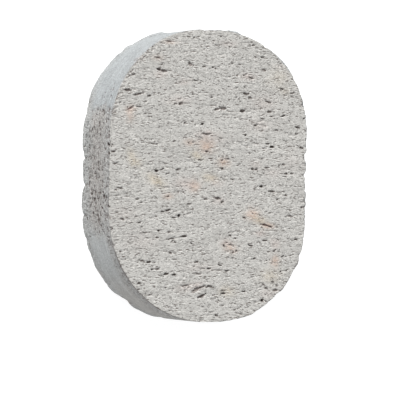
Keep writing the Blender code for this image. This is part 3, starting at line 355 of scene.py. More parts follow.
    (20.0, -35.5, 1.8, 0.5, -38, 0.8), (20.9, -36.7, 1.7, 0.5, -5, 0.9), (18.2, -36.7, 1.2, 0.4, 0),
    (24.4, -37.4, 2.2, 0.9, -3, 0.9), (17.9, -37.8, 1.8, 0.3, 5), (13.1, -37.8, 1.6, 0.5, 0, 1.0),
    (12.8, -36.2, 1.0, 0.3, 15), (11.3, -35.6, 1.6, 0.3, -12), (7.8, -35.8, 1.2, 0.3, -20),
    (1.4, -36.2, 2.2, 0.8, -12, 1.3), (0.2, -36.5, 1.4, 0.5, 10, 1.0), (2.4, -36.7, 1.4, 0.4, -15, 0.7),
    (6.0, -38.5, 2.0, 0.8, -5, 1.2), (5.6, -37.6, 1.2, 0.5, 10, 0.7), (5.0, -39.2, 0.8, 0.3, 0),
    (6.4, -39.8, 1.0, 0.3, 5), (2.7, -39.1, 1.4, 0.4, 12, 0.6), (3.9, -38.9, 1.0, 0.3, 8),
    (20.9, -38.8, 1.0, 0.5, 25, 0.7), (18.8, -38.8, 1.4, 0.3, -5), (16.4, -39.8, 1.6, 0.3, -12),
    (19.8, -40.7, 1.3, 1.0, 0, 1.8), (21.2, -41.2, 1.2, 0.5, -25, 0.7), (17.4, -41.3, 1.5, 0.4, 0, 0.7),
    (1.9, -40.3, 1.4, 0.4, 0, 0.7), (3.2, -40.1, 1.2, 0.4, 5, 0.7), (4.5, -40.9, 1.4, 0.4, -40, 0.7),
    (10.2, -43.7, 1.8, 0.4, 18, 0.7), (11.3, -43.3, 1.2, 0.5, 8, 0.7), (12.3, -42.9, 0.9, 0.6, 20, 0.6),
    (13.8, -43.2, 0.9, 0.4, -20), (14.6, -42.9, 0.6, 0.5, 0), (5.9, -42.4, 1.3, 0.5, 5, 0.6),
    (2.1, -44.7, 1.9, 0.4, 5, 0.7), (3.8, -45.8, 1.9, 0.6, -15, 1.0), (1.0, -45.6, 1.0, 0.3, 0),
    (11.0, -45.0, 2.0, 0.4, -5, 0.7), (12.3, -45.4, 1.4, 0.4, -12, 0.8), (7.4, -45.4, 1.6, 0.4, 0),
    (17.0, -44.0, 1.2, 0.4, 0), (13.6, -46.0, 0.8, 0.4, 15), (8.6, -43.3, 1.6, 0.3, -10),
)

# Chips broken out of the two rims, as x, y and size
FRONT_CHIPS = (
    (34.2, 6.9, 1.6), (34.2, 0.6, 1.0), (34.1, -9.6, 1.0), (34.2, -4.0, 0.7), (32.9, 24.1, 1.1),
    (34.0, 19.6, 0.9), (30.6, 31.8, 0.8), (19.9, 43.0, 0.9), (25.8, 38.2, 0.7), (10.2, 47.4, 1.3),
    (15.3, 45.8, 0.8), (31.4, -29.6, 1.2), (26.4, -37.6, 1.0), (22.2, -42.0, 1.2), (15.0, -46.1, 0.9),
    (9.0, -47.3, 0.8), (-34.4, 10.4, 1.4), (-34.2, 7.4, 0.9), (-33.6, -14.0, 0.9), (-33.9, -18.6, 0.8),
    (-32.4, 25.9, 1.3), (-31.2, 28.8, 1.1), (-29.0, 31.6, 0.9), (-25.6, 37.2, 1.5), (-23.6, 39.4, 1.2),
    (-21.8, 40.4, 1.1), (-19.6, 42.2, 0.7),
)
BACK_CHIPS = (
    (-34.5, 5.9, 1.5), (-34.4, -3.3, 1.6), (-34.4, -12.2, 1.8), (-34.3, 1.4, 0.8), (-34.3, 14.0, 1.0),
    (-33.6, -19.8, 1.4), (-31.8, -26.4, 0.9), (-22.4, -40.2, 0.9), (-18.8, -42.6, 0.8), (-15.9, -44.5, 2.0),
    (-12.6, -45.8, 0.9), (-8.2, -47.3, 1.2), (-31.8, 26.2, 1.1), (-27.4, 33.8, 1.4), (-23.4, 38.0, 1.3),
    (-18.2, 42.4, 1.3), (-12.0, 45.8, 0.9), (33.8, 14.0, 1.6), (34.2, -2.0, 1.3), (33.6, -16.0, 1.5),
    (24.0, 40.2, 1.5), (28.2, -32.4, 1.1), (18.5, -44.4, 1.6), (4.0, 48.2, 1.3), (1.5, -48.0, 1.2),
)

# Open bubbles in the -X side, as y, z, height along Y, breadth along Z
SIDE_PITS = (
    (9.9, 26.2, 1.1, 2.0), (9.5, 27.3, 1.0, 1.2), (23.2, 19.0, 1.2, 0.8), (22.3, 14.8, 0.8, 0.8),
    (21.4, 11.4, 0.8, 0.9), (21.0, 14.6, 1.1, 1.2), (21.0, 17.8, 1.0, 1.2), (20.4, 16.4, 0.7, 0.9),
    (21.8, 23.2, 0.8, 0.8), (21.1, 24.6, 0.9, 0.8), (20.2, 21.4, 0.8, 0.8), (19.4, 19.6, 0.9, 0.9),
    (19.6, 14.6, 0.9, 0.8), (19.4, 9.8, 0.7, 0.8), (17.6, 19.6, 0.9, 0.7), (16.2, 16.4, 1.5, 1.3),
    (15.4, 15.0, 0.8, 0.8), (14.8, 8.6, 0.9, 0.8), (12.6, 3.6, 2.0, 0.9), (12.0, 14.2, 1.7, 0.8),
    (12.9, 11.0, 0.9, 0.7), (10.6, 4.4, 1.2, 1.1), (9.5, 6.8, 1.0, 0.8), (9.0, 12.2, 1.0, 0.7),
    (8.6, 22.4, 0.7, 0.7), (6.6, 8.0, 0.7, 0.8), (6.0, 10.2, 1.0, 0.9), (5.6, 11.6, 1.4, 1.1),
    (5.0, 12.4, 0.9, 0.8), (5.2, 7.6, 0.8, 0.8), (4.6, 2.2, 0.9, 0.7), (3.8, 16.8, 0.8, 0.7),
    (2.4, 20.4, 0.9, 0.8), (2.1, 11.2, 1.2, 1.2), (1.8, 8.4, 0.8, 0.8), (1.4, 20.6, 0.8, 0.8),
    (0.4, 12.4, 0.9, 0.9), (-0.2, 22.4, 0.9, 0.8), (-0.4, 10.2, 1.0, 0.7), (-2.0, 16.4, 1.2, 0.8),
    (-2.6, 6.6, 0.8, 0.8), (-3.4, 25.0, 1.8, 0.8), (-3.8, 12.6, 0.8, 0.8), (-4.6, 18.4, 1.0, 0.8),
    (-5.1, 9.4, 1.4, 1.2), (-5.4, 11.4, 1.0, 0.8), (-5.6, 4.8, 0.9, 0.9), (-5.9, 21.4, 1.1, 0.9),
    (-6.7, 10.6, 2.0, 0.9), (-6.8, 1.4, 1.2, 0.9), (-7.2, 22.8, 1.3, 1.3), (-7.4, 15.8, 0.9, 0.8),
    (-8.1, 13.3, 1.4, 1.4), (-8.6, 10.2, 2.0, 0.9), (-8.5, 2.4, 1.5, 0.8), (-9.6, 9.2, 1.0, 0.8),
    (-9.9, 19.4, 1.1, 0.8), (-10.6, 5.2, 0.9, 0.8), (-11.2, 14.4, 1.2, 0.9), (-12.0, 23.0, 1.0, 0.9),
    (-12.6, 11.0, 0.9, 0.8), (-13.4, 19.2, 1.4, 0.8), (-14.2, 7.6, 0.8, 0.8), (-14.8, 24.2, 1.0, 0.9),
    (-15.6, 14.0, 1.0, 0.9), (-16.2, 17.4, 1.2, 0.8), (-16.4, 21.2, 1.0, 0.9), (-17.5, 25.6, 1.7, 0.9),
    (-18.0, 19.8, 1.0, 0.8), (-19.0, 16.6, 1.1, 0.8), (-19.0, 21.2, 1.2, 0.9), (-18.4, 25.8, 1.2, 0.8),
    (-20.4, 24.6, 1.0, 0.8), (-21.6, 23.6, 0.9, 0.8),
)

# Where the photo shows the stone's two rims, they swell out of the outline and back into it. Each
# swell is a distance round from the outline's start and how far out the rim is there, and each
# notch is a distance round and a depth.
RIM_STEP = 1.0
NOTCH_WIDTH = 0.8
BACK_SWELLS = (
    (60, 0.65), (64, 0.5), (69, 0.0), (73, 0.4), (78, 0.2), (83, 0.1), (86, 0.35), (94, 0.45), (97, 0.0),
    (101, 0.15), (106, 0.45), (111, 0.5), (116, 0.35), (122, 0.05), (126, 0.35), (132, 0.5), (138, 0.25),
    (140, 0.4), (143, 0.1), (151, 0.35), (156, 0.2), (162, 0.35), (165, -0.3), (168, -0.65), (170, 0.0),
    (171, 0.3), (173, 0.0), (178, 0.2), (184, -0.05),
)
BACK_NOTCHES = (
    (71, 0.35), (75.5, 0.5), (100, 0.3), (113, 0.6), (115, 0.7), (123.7, 0.65), (125, 0.4), (134, 0.9),
    (141.8, 0.5), (147, 0.35), (148.8, 0.35), (181, 0.5),
)
FRONT_SWELLS = (
    (184, 0.0), (193, -0.1), (200, 0.0), (204, 0.3), (206, 0.0), (216, -0.1), (217, 0.35), (219, 0.2),
    (225, -0.1), (226, 0.4), (228, 0.5), (230, -0.15), (232, 0.2), (238, 0.05), (245, 0.4), (251, 0.6),
    (254, 0.15), (260, 0.35), (266, 0.5), (267, 0.2), (273, 0.5), (275, 0.1), (277, 0.3), (279, 0.05),
    (282, 0.2), (288, 0.1), (296, 0.4), (302, 0.1), (308, 0.0), (314, -0.1), (316, 0.45), (319, 0.35),
    (320, 0.0), (323, 0.1), (331, 0.1),
)
FRONT_NOTCHES = (
    (195, 0.15), (197.5, 0.2), (211.5, 0.15), (214.5, 0.15), (246, 0.4), (249, 0.4), (252, 0.4),
    (255, 0.35), (257.2, 0.65), (262.3, 0.55), (264, 0.6), (285, 0.25), (290, 0.25), (305, 0.3), (324, 0.2),
    (327, 0.65),
)
# How far down the wall, and how far in from it, the rims' own shape reaches
RIM_TALL = 4.0
RIM_BAND = 4.0
# How many notches are made up all round each rim, to stay where it isn't seen
HIDDEN_NOTCHES = 60

# Mineral stains in the front face, as x, y, half length, half height, tilt, strength and kind
STAINS = (
    (-0.8, 9.8, 2.6, 2.3, 0, 0.9, "rust"), (-4.0, 6.6, 2.2, 1.2, -25, 0.7, "ochre"),
    (-18.0, -1.8, 3.4, 1.5, -32, 0.9, "ochre"), (-26.6, 6.2, 1.4, 2.2, 20, 0.6, "ochre"),
    (-25.2, 4.0, 1.8, 1.4, 0, 0.6, "ochre"), (-8.0, -2.6, 3.6, 1.8, 0, 0.7, "pink"),
    (-4.6, -3.4, 1.8, 1.8, 0, 0.8, "rust"), (0.8, -0.6, 2.6, 1.4, -10, 0.7, "ochre"),
    (2.8, -2.2, 2.2, 1.4, -20, 0.5, "pink"), (5.2, 4.6, 1.8, 1.6, 0, 0.8, "rust"),
    (0.4, 12.4, 5.0, 1.6, 0, 0.45, "pink"), (-6.6, 10.8, 1.8, 1.2, 0, 0.6, "rust"),
    (15.8, -12.4, 2.3, 1.8, -10, 0.9, "rust"), (18.4, -14.2, 2.4, 1.3, -20, 0.7, "ochre"),
    (18.6, -18.6, 2.0, 0.9, 0, 0.8, "pink"), (24.0, -22.0, 1.6, 1.8, 0, 0.7, "pink"),
    (24.0, -27.6, 1.4, 1.8, 0, 0.8, "rust"), (8.0, -23.4, 2.4, 1.6, -20, 0.7, "rust"),
    (6.4, -21.6, 1.8, 1.2, 0, 0.6, "pink"), (24.2, 33.0, 3.6, 2.8, 10, 0.35, "ochre"),
    (26.4, 28.4, 2.0, 1.2, -10, 0.35, "ochre"), (12.4, 33.0, 1.8, 1.2, 0, 0.5, "pink"),
    (24.6, 36.6, 2.0, 1.0, 0, 0.25, "pink"), (22.4, -32.6, 3.4, 2.2, 0, 0.5, "ochre"),
    (22.0, -38.4, 3.0, 1.6, 0, 0.4, "pink"), (7.2, -37.8, 2.4, 1.6, 0, 0.6, "ochre"),
    (-27.2, 19.0, 1.4, 1.8, 0, 0.5, "rust"), (-27.2, 21.4, 1.6, 1.0, 20, 0.8, "rust"),
    (-10.6, 24.4, 3.6, 1.6, 0, 0.5, "pink"), (-17.0, 33.0, 2.2, 1.2, 0, 0.6, "pink"),
    (-18.0, 38.4, 2.0, 1.0, 0, 0.4, "rust"), (-14.0, 43.6, 2.4, 0.7, 0, 0.5, "rust"),
    (-8.8, 30.6, 2.2, 1.0, 0, 0.5, "pink"), (19.0, 24.4, 4.0, 2.6, 0, 0.4, "pink"),
    (14.4, 32.8, 1.6, 1.0, 0, 0.6, "pink"), (6.6, 43.6, 2.6, 0.9, 0, 0.5, "pink"),
    (17.6, 17.0, 3.4, 2.0, 0, 0.4, "pink"), (-0.8, 14.0, 3.0, 1.0, 0, 0.6, "pink"),
    (21.0, -16.0, 2.4, 0.9, -10, 1.0, "rust"), (-13.8, -6.9, 1.6, 1.0, 0, 0.7, "rust"),
    (-22.6, -22.0, 5.0, 3.0, 0, 0.25, "pink"), (-28.6, -13.0, 4.0, 2.6, 0, 0.25, "pink"),
    (-24.0, 38.2, 1.2, 0.8, 0, 0.25, "pink"), (-7.6, -36.6, 2.6, 1.2, 10, 0.6, "pink"),
    (-3.6, -36.0, 2.4, 1.2, 15, 0.6, "pink"), (29.0, 6.0, 3.0, 4.0, 0, 0.2, "pink"),
    (22.6, 1.4, 3.0, 1.6, 0, 0.35, "pink"), (16.6, 4.0, 2.4, 1.6, 0, 0.4, "pink"),
    (3.8, -8.0, 2.6, 1.4, 0, 0.45, "pink"), (-2.0, -30.0, 5.0, 1.6, 0, 0.3, "pink"),
)
BACK_STAINS = 34

# Colours, as linear red, green and blue. The skin of the face, whose light and dull crumbs are partly
# painted highlight and shade of its fine relief, and the middle of its tone
SKIN_LIGHT_AND_HIGHLIGHT = (0.588, 0.578, 0.555, 1.0)
SKIN_DULL_AND_SHADE = (0.320, 0.314, 0.301, 1.0)
SKIN_MIDDLE = 0.53
# The wall's ground part, toward the head, low down and at the foot
GROUND_HIGH = (0.340, 0.361, 0.374, 1.0)
GROUND_LOW = (0.372, 0.385, 0.387, 1.0)
GROUND_FOOT = (0.337, 0.329, 0.315, 1.0)
# The wall's open sides, near the back, between, and near the front
SIDE_BACK = (0.505, 0.515, 0.512, 1.0)
SIDE_MIDDLE = (0.464, 0.450, 0.436, 1.0)
SIDE_FRONT = (0.480, 0.479, 0.472, 1.0)
# Inside open bubbles: their own darker glass, or rust, with painted shade of the recess over it
HOLLOW_AND_SHADE = (0.198, 0.166, 0.154, 1.0)
RUSTY_HOLLOW_AND_SHADE = (0.195, 0.110, 0.095, 1.0)
DEEP_AND_SHADE = (0.110, 0.088, 0.080, 1.0)
# The smallest bubbles on the face and on the wall, dark partly from their own colour and partly from
# painted shade; the specks and painted shadow under the front rim; and the painted highlight on the edges
# that catch the light
SPECKLE_AND_SHADE = (0.160, 0.135, 0.122, 1.0)
SIDE_DOT_AND_SHADE = (0.120, 0.095, 0.085, 1.0)
EDGE_SPECK_AND_SHADOW = (0.150, 0.122, 0.105, 1.0)
PAINTED_HIGHLIGHT = (0.740, 0.730, 0.705, 1.0)
STAIN_COLOURS = {
    "rust": (0.50, 0.30, 0.20, 1.0),
    "ochre": (0.52, 0.42, 0.27, 1.0),
    "pink": (0.50, 0.40, 0.37, 1.0),
}
STAIN_KINDS = tuple(STAIN_COLOURS)
# The scale, least and most size, and softness of the cells that make fine dark lines, partly painted shade,
# and how far the painted highlight beside each line is from it
LINE_CELLS = (3.0, -0.16, 0.42, 0.06)
LIT_SHIFT = (0.0, 0.30, 0.0)
SPECULAR = 0.25


def outline(steps=ARC_STEPS):
    """The slab's outline as x, y points, anticlockwise, from its four corner arcs."""
    points = []
    for corner, (across, along) in enumerate(CORNERS):
        side = 1 if corner in (0, 3) else -1
        end = 1 if corner in (0, 1) else -1
        middle_x = side * (WIDTH / 2 - across)
        middle_y = end * (LENGTH / 2 - along)
        for step in range(steps + 1):
            angle = math.pi / 2 * (corner + step / steps)
            x = middle_x + across * math.cos(angle)
            points.append((x, middle_y + along * math.sin(angle)))
    return points


def outline_length():
    """The length of the outline, all the way round."""
    points = outline()
    return sum(math.dist(a, b) for a, b in zip(points, points[1:] + points[:1]))


def outline_x(y):
    """Where the outline's -X side is at a given Y."""
    across, along = CORNERS[1] if y > 0 else CORNERS[2]
    past = max(abs(y) - (LENGTH / 2 - along), 0) / along
    return -(WIDTH / 2 - across) - across * math.sqrt(1 - past * past)


def inside_outline(x, y, margin=0.0):
    """Whether a point is inside the slab's outline by a margin, from its four quarter shapes."""
    corner = 0 if x >= 0 and y >= 0 else 1 if y >= 0 else 2 if x < 0 else 3
    across, along = CORNERS[corner]
    past_x = max(abs(x) - (WIDTH / 2 - across), 0) / (across - margin)
    past_y = max(abs(y) - (LENGTH / 2 - along), 0) / (along - margin)
    return past_x * past_x + past_y * past_y < 1


def distances_along(points):
    """The distance along a line of points to each of them."""
    spans = np.linalg.norm(np.diff(points, axis=0), axis=1)
    return np.concatenate(([0.0], np.cumsum(spans)))


# ---------------------------------------------------------------------------------------------
# Camera, floor and light


def view_axes():
    """The camera's right, up and back directions, before it is turned to frame the stone."""
    aside, rise, roll = (math.radians(a) for a in (VIEW_ASIDE, VIEW_RISE, VIEW_ROLL))
    level = math.cos(rise)
    back = Vector((-math.sin(aside) * level, math.sin(rise), math.cos(aside) * level))
    right = Vector((0, 1, 0)).cross(back).normalized()
    up = back.cross(right)
    turned_right = right * math.cos(roll) + up * math.sin(roll)
    turned_up = up * math.cos(roll) - right * math.sin(roll)
    return turned_right, turned_up, back


def add_camera():
    """A long lens above the stone, aimed so that its middle stands where it should in the image."""
    right, up, back = view_axes()
    middle = Vector((0, 0, THICKNESS / 2))
    place = middle + back * VIEW_DISTANCE
    aside = MIDDLE_RIGHT_PX / PIXELS_PER_MM
    above = MIDDLE_ABOVE_PX / PIXELS_PER_MM
    aim = middle - right * aside - up * above
    back = (place - aim).normalized()
    right = (right - back * right.dot(back)).normalized()
    up = back.cross(right)
    data = bpy.data.cameras.new("camera")
    data.sensor_width = SENSOR_MM
    data.lens = PIXELS_PER_MM * VIEW_DISTANCE * SENSOR_MM / IMAGE_PIXELS
    data.clip_start = NEAREST_SEEN_M
    data.clip_end = FARTHEST_SEEN_M
    camera = bpy.data.objects.new("camera", data)
    turned = Matrix((right, up, back)).transposed().to_4x4()
    camera.matrix_world = Matrix.Translation(place * MM) @ turned
    bpy.context.collection.objects.link(camera)
    bpy.context.scene.camera = camera


def light_table():
    """The floor's material: pale, and softly lit from below."""
    material = bpy.data.materials.new("light_table")
    material.use_nodes = True
    shader = material.node_tree.nodes["Principled BSDF"]
    shader.inputs["Base Color"].default_value = (*FLOOR_COLOUR, 1.0)
    shader.inputs["Roughness"].default_value = FLOOR_ROUGHNESS
    shader.inputs["Emission Color"].default_value = (1.0, 1.0, 1.0, 1.0)
    shader.inputs["Emission Strength"].default_value = FLOOR_GLOW
    return material


def add_floor():
    """A plain white light table under the stone."""
    shape = bmesh.new()
    bmesh.ops.create_grid(shape, x_segments=1, y_segments=1, size=FLOOR_SIZE_M)
    mesh = bpy.data.meshes.new("floor")
    shape.to_mesh(mesh)
    shape.free()
    mesh.materials.append(light_table())
    floor = bpy.data.objects.new("floor", mesh)
    bpy.context.collection.objects.link(floor)


def add_light():
    """An even white sky, and one soft key light from beyond the stone's +Y end."""
    world = bpy.data.worlds.new("sky")
    world.use_nodes = True
    background = world.node_tree.nodes["Background"]
    background.inputs["Color"].default_value = (*SKY_COLOUR, 1.0)
    background.inputs["Strength"].default_value = SKY_STRENGTH
    bpy.context.scene.world = world
    key = bpy.data.lights.new("key", "SUN")
    key.energy = SUN_STRENGTH
    key.angle = math.radians(SUN_ANGLE)
    key.color = SUN_COLOUR
    lamp = bpy.data.objects.new("key", key)
    lamp.rotation_euler = Vector(SUN_FROM).to_track_quat("Z", "Y").to_euler()
    bpy.context.collection.objects.link(lamp)


# ---------------------------------------------------------------------------------------------
# The stone's shape


def plain_slab():
    """The slab as one fine, even mesh in millimetres, with no bubbles yet."""
    shape = bmesh.new()
    rim = [shape.verts.new((x, y, 0)) for x, y in outline()]
    bmesh.ops.remove_doubles(shape, verts=rim, dist=0.001)
    base = shape.faces.new(shape.verts)
    raised = bmesh.ops.extrude_face_region(shape, geom=[base])
    tops = [item for item in raised["geom"] if isinstance(item, bmesh.types.BMVert)]
    bmesh.ops.translate(shape, verts=tops, vec=(0, 0, THICKNESS))
    bmesh.ops.recalc_face_normals(shape, faces=shape.faces)
    mesh = bpy.data.meshes.new("slab")
    shape.to_mesh(mesh)
    shape.free()
    slab = bpy.data.objects.new("slab", mesh)
    bpy.context.collection.objects.link(slab)
    remesh = slab.modifiers.new("even", "REMESH")
    remesh.mode = "VOXEL"
    remesh.voxel_size = VOXEL
    bake_modifiers(slab)
    return slab


def bake_modifiers(thing):
    """Replace an object's mesh with what its modifiers make of it."""
    bpy.context.view_layer.update()
    made = thing.evaluated_get(bpy.context.evaluated_depsgraph_get())
    mesh = bpy.data.meshes.new_from_object(made)
    old = thing.data
    thing.modifiers.clear()
    thing.data = mesh
    bpy.data.meshes.remove(old)


def read_vectors(items, name):
    """One vector property of all a mesh's items, as an array of rows."""
    flat = np.empty(len(items) * 3, dtype=np.float32)
    items.foreach_get(name, flat)
    return flat.reshape(-1, 3).astype(np.float64)


def read_corners(mesh):
    """The three points' numbers of each of a mesh's triangles."""
    corners = np.empty(len(mesh.loops), dtype=np.int32)
    mesh.loops.foreach_get("vertex_index", corners)
    return corners.reshape(-1, 3)


def wander(places, scale, seed):
    """Smooth random values from -1 to 1 at each place, which change over about 1 / scale."""
    shift = Vector((seed * 17.3, seed * 5.1, seed * 9.7))
    return np.array([noise.noise(Vector(place) * scale + shift) for place in places])


def wander_twice(places, first, second):
    """Two such wanders in one, each given as its scale, its seed and its share."""
    return sum(wander(places, scale, seed) * share for scale, seed, share in (first, second))


class Skin:
    """The slab's surface points, and how deep a bubble has opened below each."""

    def __init__(self, mesh):
        self.places = read_vectors(mesh.vertices, "co")
        self.inward = -read_vectors(mesh.vertex_normals, "vector")
        self.depth = np.zeros(len(self.places))
        self.shift = np.zeros((len(self.places), 3))
        drawn = self.places * np.array((0.4, 1.0, 1.0))
        ragged = [wander_twice(drawn, (1.1, seed, 0.7), (3.1, seed + 3, 0.5)) for seed in (1, 2, 3)]
        self.ragged = np.stack(ragged, axis=1)
        # Threads of glass stand up in the bubbles, which are less deep along them
        self.threads = 1 - 0.30 * np.clip(0.5 + wander(drawn, 2.3, 6), 0, 1)
        keys = self.cell_key(*np.floor(self.places / CELL).astype(int).T)
        self.order = np.argsort(keys, kind="stable")
        found, starts = np.unique(keys[self.order], return_index=True)
        ends = np.append(starts[1:], len(keys))
        self.cells = {key: (start, end) for key, start, end in zip(found, starts, ends)}

    @staticmethod
    def cell_key(i, j, k):
        """One number for a cell, from its numbers along X, Y and Z."""
        return (i * CELL_KEYS + j) * CELL_KEYS + k

    def near(self, middle, reach):
        """The points in the cells that a cube about middle touches."""
        low = np.floor((middle - reach) / CELL).astype(int)
        high = np.floor((middle + reach) / CELL).astype(int)
        found = []
        for i in range(low[0], high[0] + 1):
            for j in range(low[1], high[1] + 1):
                for k in range(low[2], high[2] + 1):
                    span = self.cells.get(self.cell_key(i, j, k))
                    if span:
                        found.append(self.order[span[0]:span[1]])
        return np.concatenate(found) if found else np.empty(0, dtype=int)

    def open_bubble(self, middle, radii, tilt=0.0, ragged=0.16, shallow=1.0):
        """Open an ellipsoid bubble: each point inside it goes to its far side, straight inward.

        radii are half sizes along X, Y and Z, and tilt is a turn about Z, in degrees. Along a
        bubble's length its edge wanders most.
        """
        middle = np.asarray(middle, dtype=float)
        near = self.near(middle, max(radii) + 0.4)
        if not len(near):
            return
        turn = math.radians(tilt)
        along = np.array((math.cos(turn), math.sin(turn), 0.0))
        across = np.array((-math.sin(turn), math.cos(turn), 0.0))
        to_bubble = np.stack((along / radii[0], across / radii[1], (0.0, 0.0, 1.0 / radii[2])))
        edge = self.ragged[near] * ragged * np.array((1.8, 1.0, 1.0))
        offset = (self.places[near] + edge - middle) @ to_bubble.T
        way = self.inward[near] @ to_bubble.T
        inside = (offset * offset).sum(axis=1)
        run = (way * way).sum(axis=1)
        meet = (offset * way).sum(axis=1)
        root = np.sqrt(np.maximum(meet * meet - run * (inside - 1), 0))
        far_side = np.where(inside < 1, (root - meet) / run, 0) * shallow * self.threads[near]
        self.depth[near] = np.maximum(self.depth[near], np.minimum(far_side, DEEPEST))

    def moved(self):
        """Where the points are once the bubbles are open and the rims are shaped."""
        return self.places + self.inward * self.depth[:, None] + self.shift


def open_front(skin):
    """The front face's own bubbles, where the stone has them, with their real sizes."""
    for x, y, length, height, tilt, *listed in FRONT_PITS:
        place = (x, y, THICKNESS)
        full = min(DEPTH_START - DEPTH_LESS_PER_MM * length, 1.0)
        depth = listed[0] * full if listed else SHALLOWEST
        half_height = max(height * MOUTH_HALF, THINNEST)
        radii = (length * MOUTH_HALF, half_height, depth)
        skin.open_bubble(place, radii, tilt, min(RAGGED_MOST, RAGGED_SHARE * height))
        if length > TORN_FROM:
            radii = (length * TORN_LENGTH, half_height * TORN_HEIGHT, TORN_DEPTH)
            skin.open_bubble(place, radii, tilt, TORN_RAGGED)


def open_side(skin):
    """The -X side's own bubbles: their tubes run straight in along X."""
    for y, z, height, breadth in SIDE_PITS:
        radii = (SIDE_TUBE_DEPTH, height / 2, breadth / 2)
        skin.open_bubble((outline_x(y), y, z), radii, ragged=0.12)


def chip_rims(skin):
    """The chips in both rims."""
    for chips, z in ((FRONT_CHIPS, THICKNESS), (BACK_CHIPS, 0.0)):
        for x, y, size in chips:
            radii = tuple(size * share for share in CHIP_SHARES)
            skin.open_bubble((x, y, z), radii, ragged=0.3, shallow=0.8)


class Wall:
    """The wall round the slab, for picking places on it."""

    def __init__(self):
        points = outline()
        self.points = points + points[:1]
        pairs = zip(self.points, self.points[1:])
        self.lengths = np.cumsum([math.dist(a, b) for a, b in pairs])

    def pick(self, draw):
        """A random place on the wall, as x, y, z and the outward direction's x and y."""
        index = int(np.searchsorted(self.lengths, draw.uniform(0, self.lengths[-1])))
        index = min(index, len(self.points) - 2)
        (x1, y1), (x2, y2) = self.points[index], self.points[index + 1]
        part = draw.random()
        edge = max(math.hypot(x2 - x1, y2 - y1), 1e-6)
        out = ((y2 - y1) / edge, -(x2 - x1) / edge)
        z = draw.uniform(0.3, THICKNESS - 0.3)
        return x1 + (x2 - x1) * part, y1 + (y2 - y1) * part, z, out


def set_in(x, y, z, out, inset):
    """A place on the wall, moved straight in by inset."""
    return x - out[0] * inset, y - out[1] * inset, z


def crumble_rims(skin, wall, draw):
    """Small crumbs lost all along both rims."""
    for z, biggest in CRUMBLED_RIMS:
        for _ in range(CRUMBS):
            x, y, _z, out = wall.pick(draw)
            size = draw.uniform(0.2, biggest)
            inset = draw.uniform(-0.1, 0.35)
            length = size * draw.uniform(0.9, 2.0)
            radii = (length, size * draw.uniform(0.6, 1.0), size * draw.uniform(0.6, 1.2))
            place = set_in(x, y, z, out, inset)
            skin.open_bubble(place, radii, draw.gauss(0, 15), 0.2, 0.9)


def open_rim_cells(skin, wall, draw):
    """Open cells just inside the front rim, above the smooth upper corner of the -X side."""
    placed = 0
    while placed < RIM_CELLS:
        x, y, _z, out = wall.pick(draw)
        if x > RIM_CELLS_X_UP_TO or not RIM_CELLS_Y[0] < y < RIM_CELLS_Y[1]:
            continue
        placed += 1
        inset = draw.uniform(0.0, 1.5)
        size = draw.uniform(0.18, 0.42)
        radii = (size * draw.uniform(1.0, 1.8), size, draw.uniform(0.25, 0.6))
        place = set_in(x, y, THICKNESS, out, inset)
        skin.open_bubble(place, radii, draw.uniform(-50, 70), 0.2)


def small_radii(draw, scale):
    """Half sizes of a small random bubble, drawn out along X."""
    length = min(max(draw.lognormvariate(math.log(0.52), 0.45), 0.25), 1.7) * scale
    height = min(draw.uniform(0.16, 0.34) * length, 0.35 * scale) + 0.07
    return length, height, draw.uniform(0.5, 1.2) * height + 0.10


def scatter_on_face(skin, draw, count, z, scale):
    """Small random bubbles on a flat face, crowded in some places and sparse in others."""
    placed = 0
    while placed < count:
        x = draw.uniform(-WIDTH / 2, WIDTH / 2)
        y = draw.uniform(-LENGTH / 2, LENGTH / 2)
        crowding = noise.noise(Vector((x * 0.10, y * 0.16, z + 3.7)))
        if not inside_outline(x, y) or draw.uniform(-0.6, 0.5) > crowding:
            continue
        placed += 1
        length, height, depth = small_radii(draw, scale)
        lift = draw.uniform(-0.3, 0.4) * depth * (1 if z > 0 else -1)
        skin.open_bubble((x, y, z + lift), (length, height, depth), draw.gauss(0, 13), 0.1)


def ground_smooth(x, y, z):
    """How smoothly the wall is ground at a place, from 0 on the open sides to 1 on the corners."""
    wavy, fade = SMOOTH_EDGES[0 if x < 0 else 1]
    edge = SMOOTH_FROM_HEAD if y > 0 else SMOOTH_FROM_FOOT
    edge += wavy * noise.noise(Vector((x * 0.11, y * 0.09, z * 0.16)))
    smooth = min(max((abs(y) - edge) / fade, 0.0), 1.0)
    if y >= OPEN_BAND_FROM:
        return smooth
    band = OPEN_BAND + OPEN_BAND_WIDENS * max(OPEN_BAND_WIDENS_FROM - y, 0.0)
    band += 1.5 * noise.noise(Vector((x * 0.2, y * 0.2, 5.0)))
    under_rim = min(max((THICKNESS - z - band) / 1.5, 0.0), 1.0)
    return smooth * (0.25 + 0.75 * under_rim)


def scatter_on_wall(skin, wall, draw):
    """Bubbles round the wall: seen end on, and so round, on the two sides."""
    placed = 0
    while placed < WALL_CROWD:
        x, y, z, out = wall.pick(draw)
        smooth = ground_smooth(x, y, z)
        crowding = noise.noise(Vector((x * 0.2, y * 0.12, z * 0.15))) * 0.5
        if draw.random() < smooth * 0.93 or draw.uniform(-0.5, 0.5) > crowding + 0.1:
            continue
        placed += 1
        size = min(max(draw.lognormvariate(math.log(0.33), 0.35), 0.2), 0.65)
        if y < FOOT_FROM:
            size *= FOOT_SCALE
        length = size * draw.uniform(1.2, 2.6)
        radii = (length, size * draw.uniform(0.8, 1.2), size * draw.uniform(0.7, 1.2))
        place = set_in(x, y, z, out, draw.uniform(-0.3, 0.3) * size)
        skin.open_bubble(place, radii, draw.gauss(0, 10), 0.12, 0.85)


